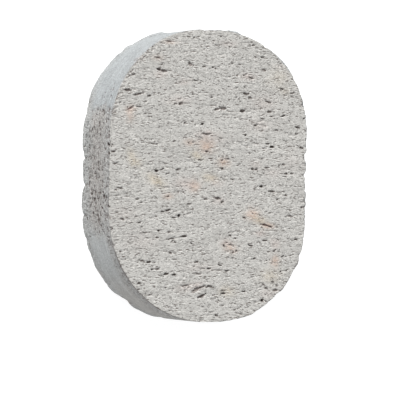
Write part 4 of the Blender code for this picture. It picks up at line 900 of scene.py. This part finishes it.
def roughen(skin):
    """The skin's fine unevenness: low streaks along X, and a coarser swell on the wall."""
    squashed = skin.places * np.array((0.3, 1.0, 1.0))
    streaks = wander_twice(squashed, (2.0, 8, 0.5), (3.8, 9, 0.5))
    smooth = np.array([ground_smooth(*place) for place in skin.places])
    flat = np.abs(skin.inward[:, 2])
    amount = (0.07 - 0.035 * flat) * (1 - 0.75 * smooth * (1 - flat))
    skin.depth += amount * (0.5 - 0.5 * streaks)
    skin.depth += (1 - flat) * 0.10 * wander(skin.places, 0.35, 13) ** 2


def rim_offsets(draw, swells, notches, loose):
    """How far one rim stands out, all the way round: as in the photo where seen, or made up."""
    first = swells[0][0]
    steps = np.arange(math.ceil(outline_length() / RIM_STEP))
    offsets = np.array([0.30 * noise.noise(Vector((step * 0.31, first, 0.5))) for step in steps])
    for _ in range(HIDDEN_NOTCHES):
        middle = draw.uniform(0, len(steps))
        width = draw.uniform(0.5, 1.4)
        offsets -= draw.uniform(0.1, 0.6) * np.exp(-((steps - middle) / width) ** 2)
    offsets *= loose
    seen = np.arange(first, swells[-1][0] + 1)
    out = np.interp(seen, *zip(*swells))
    for place, depth in notches:
        out -= depth * np.exp(-((seen - place) / NOTCH_WIDTH) ** 2)
    offsets[seen % len(steps)] = out
    return offsets


def shape_rims(skin, draw):
    """Move the wall in and out near its rims, where the stone's own are scalloped and notched."""
    tree, _points, inward, along = rim_tree()
    total = outline_length()
    front = rim_offsets(draw, FRONT_SWELLS, FRONT_NOTCHES, 0.35)
    back = rim_offsets(draw, BACK_SWELLS, BACK_NOTCHES, 1.0)
    steps = np.arange(len(front)) * RIM_STEP
    near_front = np.exp(-((THICKNESS - skin.places[:, 2]) / RIM_TALL) ** 2)
    near_back = np.exp(-(skin.places[:, 2] / RIM_TALL) ** 2)
    moved, nearest, distances = [], [], []
    for index in np.flatnonzero(np.maximum(near_front, near_back) > 0.01):
        x, y, _z = skin.places[index]
        if not inside_outline(x, y, RIM_BAND):
            _place, found, distance = tree.find((x, y, 0))
            moved.append(index)
            nearest.append(found)
            distances.append(distance)
    out = np.interp(along[nearest], steps, front, period=total) * near_front[moved]
    out += np.interp(along[nearest], steps, back, period=total) * near_back[moved]
    out *= np.clip(1 - np.array(distances) / RIM_BAND, 0, 1) ** 2
    skin.shift[moved, :2] -= inward[nearest] * out[:, None]


def front_part(places):
    """Which points are on the front face, or on the wall's top."""
    return places[:, 2] >= FRONT_FROM


def side_part(places):
    """Which points are on the wall that the photo shows, below the front part."""
    x, z = places[:, 0], places[:, 2]
    return ~front_part(places) & (x < SIDE_UP_TO) & (z > SIDE_ABOVE)


def rest_part(places):
    """Which points are on the back, and on the wall that isn't seen."""
    return ~front_part(places) & ~side_part(places)


def thin_part(thing, is_part, wanted):
    """Thin one part of the mesh to about the wanted number of triangles, and leave the rest."""
    mesh = thing.data
    free = is_part(read_vectors(mesh.vertices, "co"))
    group = thing.vertex_groups.new(name="free")
    group.add(np.flatnonzero(free).tolist(), 1.0, "REPLACE")
    locked = int((~free[read_corners(mesh)].any(axis=1)).sum())
    decimate = thing.modifiers.new("thin", "DECIMATE")
    decimate.decimate_type = "COLLAPSE"
    decimate.vertex_group = group.name
    # With a factor of 0 the group would be passed over, and the whole mesh thinned
    decimate.vertex_group_factor = 1.0
    decimate.ratio = (locked + wanted) / len(mesh.polygons)
    bake_modifiers(thing)
    thing.vertex_groups.clear()


def thin_out(thing):
    """Bring the mesh under its limit of triangles, with more of them kept on the front face."""
    shape = bmesh.new()
    shape.from_mesh(thing.data)
    bmesh.ops.triangulate(shape, faces=shape.faces)
    shape.to_mesh(thing.data)
    shape.free()
    thin_part(thing, rest_part, REST_TRIANGLES)
    thin_part(thing, side_part, SIDE_TRIANGLES)
    thin_part(thing, front_part, FRONT_TRIANGLES)


def rim_tree():
    """A search tree over the outline's points, with each point's way inward and distance along."""
    corners = np.array(outline())
    corners = np.vstack((corners, corners[:1]))
    along = distances_along(corners)
    even = np.arange(0.0, along[-1], EVEN_STEP)
    points = np.stack([np.interp(even, along, corners[:, axis]) for axis in (0, 1)], axis=1)
    step = np.roll(points, -1, axis=0) - np.roll(points, 1, axis=0)
    inward = np.stack((-step[:, 1], step[:, 0]), axis=1)
    inward /= np.linalg.norm(inward, axis=1, keepdims=True)
    tree = kdtree.KDTree(len(points))
    for index, (x, y) in enumerate(points):
        tree.insert((x, y, 0), index)
    tree.balance()
    return tree, points, inward, distances_along(points)


def measure_surface(places):
    """For each point: how far it is below the front, the back and the wall, and how far round."""
    tree, points, inward, along = rim_tree()
    below_wall = np.full(len(places), FAR_FROM_WALL)
    around = np.zeros(len(places))
    for index, (x, y, _z) in enumerate(places):
        _place, nearest, distance = tree.find((x, y, 0))
        around[index] = along[nearest]
        if distance < NEAR_WALL:
            gap = np.array((x, y)) - points[nearest]
            below_wall[index] = gap[0] * inward[nearest][0] + gap[1] * inward[nearest][1]
    return THICKNESS - places[:, 2], places[:, 2], below_wall, around


def store(mesh, name, values):
    """Keep one number for each point of a mesh, for its material to read."""
    mesh.attributes.new(name, "FLOAT", "POINT").data.foreach_set("value", values.astype(np.float32))


def all_stains(draw):
    """The front face's own stains, and random ones for the back, with the height of their face."""
    spots = [(x, y, THICKNESS, *rest) for x, y, *rest in STAINS]
    for _ in range(BACK_STAINS):
        x = draw.uniform(-WIDTH / 2, WIDTH / 2)
        y = draw.uniform(-LENGTH / 2, LENGTH / 2)
        size = draw.uniform(1.2, 3.4)
        strength = draw.uniform(0.3, 0.9)
        tilt = draw.uniform(-25, 25)
        spots.append((x, y, 0.0, size, size * 0.6, tilt, strength, draw.choice(STAIN_KINDS)))
    return spots


def stain_maps(places, draw):
    """How strong each kind of stain is at each point."""
    maps = {kind: np.zeros(len(places)) for kind in STAIN_KINDS}
    spread = wander_twice(places, (0.55, 21, 0.5), (1.6, 22, 0.5))
    for x, y, z, half_length, half_height, tilt, strength, kind in all_stains(draw):
        near = np.flatnonzero((np.abs(places[:, 2] - z) < 3.5) & (np.abs(places[:, 0] - x) < 14))
        turn = math.radians(tilt)
        dx = places[near, 0] - x
        dy = places[near, 1] - y
        along = (dx * math.cos(turn) + dy * math.sin(turn)) / half_length
        across = (dy * math.cos(turn) - dx * math.sin(turn)) / half_height
        ragged = 1.0 + 0.9 * spread[near]
        maps[kind][near] += strength * np.exp(-(along ** 2 + across ** 2) * ragged)
    return maps


def lay_out_uv(mesh, places, surface):
    """One flat map: the front and back faces side by side, and the wall in two strips below."""
    front, back, wall, around = surface
    corners = read_corners(mesh)
    side = np.stack((front, back, wall))[:, corners].mean(axis=2).argmin(axis=0)
    total = outline_length()
    span = WIDTH * 2 + UV_GAP * 3
    tall = LENGTH + 2 * THICKNESS + UV_GAP * 4
    x, y, z = np.moveaxis(places[corners], 2, 0)
    s = around[corners]
    wrapped = (s.max(axis=1) - s.min(axis=1)) > total / 2
    s = np.where(wrapped[:, None] & (s < total / 2), s + total, s)
    second = s.mean(axis=1) > total / 2
    u_front = UV_GAP + WIDTH / 2 + x
    u_back = UV_GAP * 2 + WIDTH * 1.5 - x
    v_faces = tall - UV_GAP - LENGTH / 2 + y
    u_wall = UV_GAP + np.where(second[:, None], s - total / 2, s)
    v_wall = UV_GAP + z + np.where(second, 0.0, THICKNESS + UV_GAP)[:, None]
    u = np.where((side == 0)[:, None], u_front, np.where((side == 1)[:, None], u_back, u_wall))
    v = np.where((side == 2)[:, None], v_wall, v_faces)
    flat = np.stack((u, v), axis=2) * (1.0 / max(span, tall))
    layer = mesh.uv_layers.new(name="OFBake")
    layer.data.foreach_set("uv", flat.astype(np.float32).ravel())


def open_bubbles(skin, draw):
    """All of the stone's bubbles, crumbs and chips, and its grain."""
    wall = Wall()
    open_front(skin)
    open_side(skin)
    crumble_rims(skin, wall, draw)
    open_rim_cells(skin, wall, draw)
    for count, z, scale in FACE_CROWDS:
        scatter_on_face(skin, draw, count, z, scale)
    scatter_on_wall(skin, wall, draw)
    chip_rims(skin)
    roughen(skin)
    shape_rims(skin, draw)


def keep_maps(mesh, places, surface, draw):
    """Keep on the mesh's points what the material needs to know of each."""
    front, back, wall, _around = surface
    flat_depth = np.minimum(front, back)
    depth = np.minimum(flat_depth, wall)
    # Chips in the back rim are fresh and pale, not dark like bubbles
    chipped = np.clip(1.5 - back / 2.5, 0, 1) * np.clip(1.5 - wall / 1.5, 0, 1)
    # Chips along the rims get painted shade, more as they go deeper
    rim_shade = np.clip((depth - 0.05) / 0.2, 0, 1)
    store(mesh, "pit", depth * (1 - 0.75 * chipped))
    store(mesh, "on_wall", (wall < flat_depth).astype(float))
    store(mesh, "rim_chip_shade", rim_shade * (flat_depth < 1.4) * (wall < 1.4))
    store(mesh, "ground", np.array([ground_smooth(*place) for place in places]))
    for kind, values in stain_maps(places, draw).items():
        store(mesh, kind, values)


def make_stone():
    """The whole stone: the slab, its bubbles, chips and grain, in one mesh."""
    draw = random.Random(SEED)
    stone = plain_slab()
    skin = Skin(stone.data)
    open_bubbles(skin, draw)
    stone.data.vertices.foreach_set("co", skin.moved().astype(np.float32).ravel())
    stone.data.update()
    thin_out(stone)

    mesh = stone.data
    places = read_vectors(mesh.vertices, "co")
    surface = measure_surface(places)
    keep_maps(mesh, places, surface, draw)
    lay_out_uv(mesh, places, surface)
    mesh.vertices.foreach_set("co", (places * MM).astype(np.float32).ravel())
    mesh.shade_smooth()
    mesh.update()
    return stone


# ---------------------------------------------------------------------------------------------
# The stone's material


class Field:
    """A number or colour that the material works out at each place. Sums on it add nodes."""

    def __init__(self, shade, socket):
        self.shade = shade
        self.socket = socket

    def __add__(self, other):
        return self.shade.maths("ADD", self, other)

    def __sub__(self, other):
        return self.shade.maths("SUBTRACT", self, other)

    def __rsub__(self, other):
        return self.shade.maths("SUBTRACT", other, self)

    def __mul__(self, other):
        return self.shade.maths("MULTIPLY", self, other)

    def clamped(self):
        """The same number, kept from 0 to 1 by the node that works it out."""
        self.socket.node.use_clamp = True
        return self

    def beside(self, output):
        """Another output of the same node."""
        return Field(self.shade, self.socket.node.outputs[output])


class Shade:
    """Short calls that add nodes to one material and link them."""

    def __init__(self, material):
        material.use_nodes = True
        self.tree = material.node_tree
        self.inputs = self.tree.nodes["Principled BSDF"].inputs

    def put(self, socket, value):
        """Link a socket to a field, or set it."""
        if isinstance(value, Field):
            self.tree.links.new(value.socket, socket)
        else:
            socket.default_value = value

    def add(self, kind, output, inputs=(), **settings):
        """Add a node with these inputs and settings, and give the field of one of its outputs."""
        node = self.tree.nodes.new("ShaderNode" + kind)
        for name, setting in settings.items():
            setattr(node, name, setting)
        for name, value in dict(inputs).items():
            self.put(node.inputs[name], value)
        return Field(self, node.outputs[output])

    def maths(self, operation, *values):
        """One sum on numbers."""
        return self.add("Math", 0, enumerate(values), operation=operation)

    def vector(self, operation, *values):
        """One sum on vectors."""
        return self.add("VectorMath", 0, enumerate(values), operation=operation)

    def scaled(self, vector, factor):
        """A vector or colour times one number."""
        inputs = {"Vector": vector, "Scale": factor}
        return self.add("VectorMath", 0, inputs, operation="SCALE")

    def noise(self, vector, scale, detail=2.0, roughness=0.5, output="Fac"):
        """Smooth noise, as a number about a half, or as a colour."""
        inputs = {"Vector": vector, "Scale": scale, "Detail": detail, "Roughness": roughness}
        return self.add("TexNoise", output, inputs)

    def cells(self, vector, scale):
        """Scattered points: the distance to the nearest, and a random number for it."""
        distance = self.add("TexVoronoi", "Distance", {"Vector": vector, "Scale": scale})
        return distance, self.add("SeparateColor", "Red", {"Color": distance.beside("Color")})

    def ramp(self, value, low, high, start=0.0, end=1.0):
        """Ease a number from start to end as the value goes from low to high."""
        inputs = {"Value": value, "From Min": low, "From Max": high, "To Min": start, "To Max": end}
        return self.add("MapRange", "Result", inputs, interpolation_type="SMOOTHSTEP")

    def mix(self, part, first, second):
        """Mix two colours."""
        return self.add("Mix", "Result", {"Factor": part, "A": first, "B": second}, data_type="RGBA")

    def attribute(self, name):
        """A number kept on the mesh's points."""
        return self.add("Attribute", "Fac", attribute_name=name)


def tiny_bubbles(shade, flow, scale, least, most, soft=0.16):
    """A mask of tiny bubbles of mixed sizes, 1 in each bubble and 0 between them."""
    distance, chance = shade.cells(flow, scale)
    size = shade.ramp(chance, 0.3, 1.0, least, most)
    return shade.ramp(size - distance, 0.0, soft)


def lay_places(shade):
    """The places, in millimetres, at which patterns are worked out: straight, bent, or drawn out."""
    at = SimpleNamespace()
    at.place = shade.scaled(shade.add("TexCoord", "Object"), 1 / MM)
    at.bent = at.place
    for scale, detail, reach in ((0.16, 2.0, 2.0), (0.55, 1.0, 0.5)):
        drift = shade.noise(at.place, scale, detail, output="Color")
        drift = shade.vector("SUBTRACT", drift, (0.5, 0.5, 0.5))
        at.bent = shade.vector("ADD", at.bent, shade.vector("MULTIPLY", drift, (0.0, reach, reach)))
    # Each row of bubbles is moved along by a different amount, so that they do not line up
    rows = shade.noise(shade.vector("MULTIPLY", at.place, (0.08, 1.0, 1.0)), 0.9, 1.0)
    moved = shade.vector("ADD", at.bent, shade.scaled((8.0, 0.0, 0.0), rows))
    at.flow = shade.vector("MULTIPLY", moved, (0.36, 1.0, 1.0))
    at.drawn = shade.vector("MULTIPLY", at.flow, (0.50, 1.0, 1.0))
    at.wide = shade.vector("MULTIPLY", at.bent, (0.30, 1.0, 1.0))
    at.x = shade.add("SeparateXYZ", "X", {"Vector": at.place})
    at.y = at.x.beside("Y")
    at.z = at.x.beside("Z")
    return at


def lay_masks(shade, at):
    """Which places are on the wall, on its ground or open part, and how deep in a pit."""
    mask = SimpleNamespace()
    mask.wall = shade.attribute("on_wall")
    mask.face = 1.0 - mask.wall
    near_back = shade.ramp(at.z + shade.noise(at.place, 0.4), 3.0, 8.0, 0.8, 0.0)
    near_back = near_back * shade.ramp(at.y, 22.0, 32.0, 1.0, 0.2)
    mask.ground = (shade.attribute("ground") - near_back).clamped() * mask.wall
    mask.open = 1.0 - mask.ground * 0.85
    mask.side = (mask.wall - mask.ground).clamped()
    # On the wall, seen aslant, a bubble shows only its shallow part, so that part is darkened too, as
    # painted shade
    off_rims = shade.ramp(at.z, 0.8, 2.0) * shade.ramp(at.z, 26.0, 27.2, 1.0, 0.0)
    most = shade.ramp(at.x, -5.0, 5.0, 2.0, 1.2)
    stronger_shade = shade.ramp(mask.wall * off_rims, 0.0, 1.0, 1.0, most)
    mask.pit = shade.attribute("pit") * stronger_shade
    return mask


def lay_grains(shade, at, mask):
    """The patterns that both the colour and the bump are made of."""
    grain = SimpleNamespace()
    grain.fine = tiny_bubbles(shade, at.flow, 3.4, 0.05, 0.44, 0.10)
    grain.hairs = tiny_bubbles(shade, at.flow, 2.7, -0.16, 0.42, 0.08)
    grain.lines = tiny_bubbles(shade, at.drawn, *LINE_CELLS)
    side_cells = shade.vector("MULTIPLY", at.bent, (0.32, 1.0, 0.6))
    grain.dots = tiny_bubbles(shade, side_cells, 1.35, -0.15, 0.42) * mask.side
    grain.streaks = shade.noise(at.flow, 4.6, 2.0, 0.6)
    grain.crumbs = shade.noise(at.flow, 4.8, 2.0, 0.6)
    grain.grit = shade.noise(at.place, 3.6, 2.0, 0.6)
    grain.rings = shade.noise(shade.vector("MULTIPLY", at.place, (0.10, 0.10, 1.3)), 1.0, 3.0, 0.6)
    return grain


def skin_colour(shade, at, grain):
    """The face's colour between its pits: light and dull crumbs of random tone that also stand as painted
    highlight and shade of the fine relief, more marked in some patches.
    """
    broad = shade.noise(at.wide, 0.22, 3.0, 0.55)
    patch = shade.ramp(shade.noise(at.wide, 0.33), 0.36, 0.64, 0.45, 1.20)
    tone = grain.crumbs * 0.70 + grain.grit * 0.30 + broad * 0.10
    tone = (tone - SKIN_MIDDLE) * patch + SKIN_MIDDLE
    return shade.mix(shade.ramp(tone, 0.40, 0.66), SKIN_DULL_AND_SHADE, SKIN_LIGHT_AND_HIGHLIGHT)


def wall_colour(shade, at, mask, grain):
    """The wall's colour: bluish dust where it is ground, and warmer on its open sides."""
    ground = shade.mix(shade.ramp(at.y, -10.0, 20.0), GROUND_LOW, GROUND_HIGH)
    ground = shade.mix(shade.ramp(at.y, -42.0, -28.0), GROUND_FOOT, ground)
    uneven = at.z + shade.noise(at.place, 0.25, 3.0) * 8.0
    side = shade.mix(shade.ramp(uneven, 7.0, 15.0), SIDE_BACK, SIDE_MIDDLE)
    side = shade.mix(shade.ramp(uneven, 22.0, 28.0), side, SIDE_FRONT)
    side = shade.scaled(side, shade.ramp(at.y, 8.0, 22.0, 1.0, 1.10))
    colour = shade.mix(mask.ground, side, ground)
    squat = shade.noise(shade.vector("MULTIPLY", at.place, (0.5, 1.0, 0.45)), 2.2, 2.0, 0.6)
    spread = shade.ramp(mask.ground, 0.2, 0.8, 0.22, 0.16)
    flecks = shade.ramp(squat, 0.36, 0.64, -1.0, 1.0) * spread
    return shade.scaled(colour, flecks + shade.ramp(grain.rings, 0.3, 0.7, 0.87, 1.13))


def stained(shade, colour, grain):
    """The colour with the mineral stains over it, patchy along the streaks."""
    patchy = shade.ramp(grain.streaks, 0.3, 0.65, 0.45, 1.0)
    for kind, stain in STAIN_COLOURS.items():
        part = (shade.attribute(kind) * patchy * 0.66).clamped()
        colour = shade.mix(part, colour, stain)
    return colour


def speckled(shade, colour, at, mask, grain):
    """The colour with the smallest bubbles: dark inside, partly their own colour and partly painted shade,
    with a painted highlight on the edge that faces the light.
    """
    speckle = shade.maths("MAXIMUM", grain.fine * 0.14, grain.hairs * 0.44)
    speckle = shade.maths("MAXIMUM", speckle, grain.lines * 0.95)
    colour = shade.mix(speckle * mask.open, colour, SPECKLE_AND_SHADE)
    # Painted highlight beside each fine dark line, on its side toward the light
    lit = tiny_bubbles(shade, shade.vector("ADD", at.drawn, LIT_SHIFT), *LINE_CELLS)
    lit = (lit - grain.lines).clamped() * mask.face
    colour = shade.mix(lit * 0.7, colour, PAINTED_HIGHLIGHT)
    # Dots on the wall's open sides: dark partly from their own colour, partly from painted shade
    return shade.mix(grain.dots * 0.85, colour, SIDE_DOT_AND_SHADE)


def edge_specked(shade, colour, at, mask, grain):
    """The colour with the specks that follow the wall's edge under the front rim, at the foot, and a
    painted shadow line just under that rim.
    """
    band = shade.ramp(at.z, 18.0, 27.0) * shade.ramp(at.y, -28.0, -16.0, 1.0, 0.0)
    specks = shade.vector("MULTIPLY", at.place, (1.0, 1.0, 0.45))
    specks = tiny_bubbles(shade, specks, 1.25, -0.05, 0.52, 0.08)
    # A painted shadow line just under the front rim
    line = shade.ramp(at.z, 26.2, 27.4) * shade.ramp(grain.grit, 0.3, 0.55, 0.3, 0.9)
    specks = shade.maths("MAXIMUM", specks, line) * band * mask.wall
    return shade.mix(specks * 0.75, colour, EDGE_SPECK_AND_SHADOW)


def pitted(shade, colour, at, mask, grain):
    """The colour with the open bubbles: a painted highlight on their lips, brown hollows and dark deep ends
    that are partly their own colour and partly painted shade, and painted shade in the chips along the
    rims.
    """
    rusty = (shade.attribute("rust") * 0.9).clamped()
    hollow_and_shade = shade.mix(rusty, HOLLOW_AND_SHADE, RUSTY_HOLLOW_AND_SHADE)
    threads = shade.ramp(grain.streaks, 0.35, 0.65, 0.70, 1.0)
    fibres = shade.noise(shade.vector("MULTIPLY", at.bent, (0.22, 1.0, 1.0)), 3.0, 2.0, 0.6)
    torn = mask.pit + (fibres - 0.5) * shade.ramp(mask.pit, 0.08, 0.30, 0.0, 1.8)
    # Painted highlight on the lips of the pits
    colour = shade.mix(shade.ramp(torn, 0.06, 0.14) * mask.face * 0.38, colour, PAINTED_HIGHLIGHT)
    # Brown hollows and dark deep ends, deeper in: partly their own colour, partly painted shade
    colour = shade.mix(shade.ramp(torn, 0.26, 0.44, 0.0, 0.95) * threads, colour, hollow_and_shade)
    colour = shade.mix(shade.ramp(torn, 0.80, 1.70, 0.0, 0.85) * threads, colour, DEEP_AND_SHADE)
    # Painted shade in the chips along the rims, patchy along the grit
    rim_shade = shade.attribute("rim_chip_shade") * shade.ramp(grain.grit, 0.35, 0.6, 0.0, 0.30)
    return shade.mix(rim_shade, colour, hollow_and_shade)


def bump_height(shade, mask, grain):
    """The finest relief, in millimetres, which is too small for the mesh."""
    height = grain.fine * -0.24 - grain.hairs * 0.40 - grain.lines * 0.45 + grain.streaks * 0.64
    height = height * mask.open + grain.dots * -0.3 + grain.grit * 0.22
    height = height * shade.ramp(mask.wall, 0.0, 1.0, 0.5, 1.0)
    return height + grain.rings * mask.ground * 0.25


def pumice_material():
    """Light grey pumice: streaky, full of tiny bubbles, dark in its pits and stained in places."""
    material = bpy.data.materials.new("pumice")
    shade = Shade(material)
    at = lay_places(shade)
    mask = lay_masks(shade, at)
    grain = lay_grains(shade, at, mask)
    colour = skin_colour(shade, at, grain)
    colour = shade.mix(mask.wall * 0.92, colour, wall_colour(shade, at, mask, grain))
    colour = stained(shade, colour, grain)
    colour = speckled(shade, colour, at, mask, grain)
    colour = edge_specked(shade, colour, at, mask, grain)
    colour = pitted(shade, colour, at, mask, grain)
    bump = {"Strength": 1.0, "Distance": MM, "Height": bump_height(shade, mask, grain)}
    shade.put(shade.inputs["Base Color"], colour)
    shade.put(shade.inputs["Normal"], shade.add("Bump", "Normal", bump))
    shade.put(shade.inputs["Roughness"], shade.ramp(grain.streaks, 0.3, 0.7, 0.98, 0.86))
    shade.put(shade.inputs["Specular IOR Level"], SPECULAR)
    return material


def main():
    """Build the whole scene."""
    bpy.context.scene.view_settings.view_transform = "Standard"
    add_camera()
    add_floor()
    add_light()
    stone = make_stone()
    stone.name = "pumice"
    stone.data.materials.clear()
    stone.data.materials.append(pumice_material())
    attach(stone, "root")
    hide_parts("pumice_stone")


main()
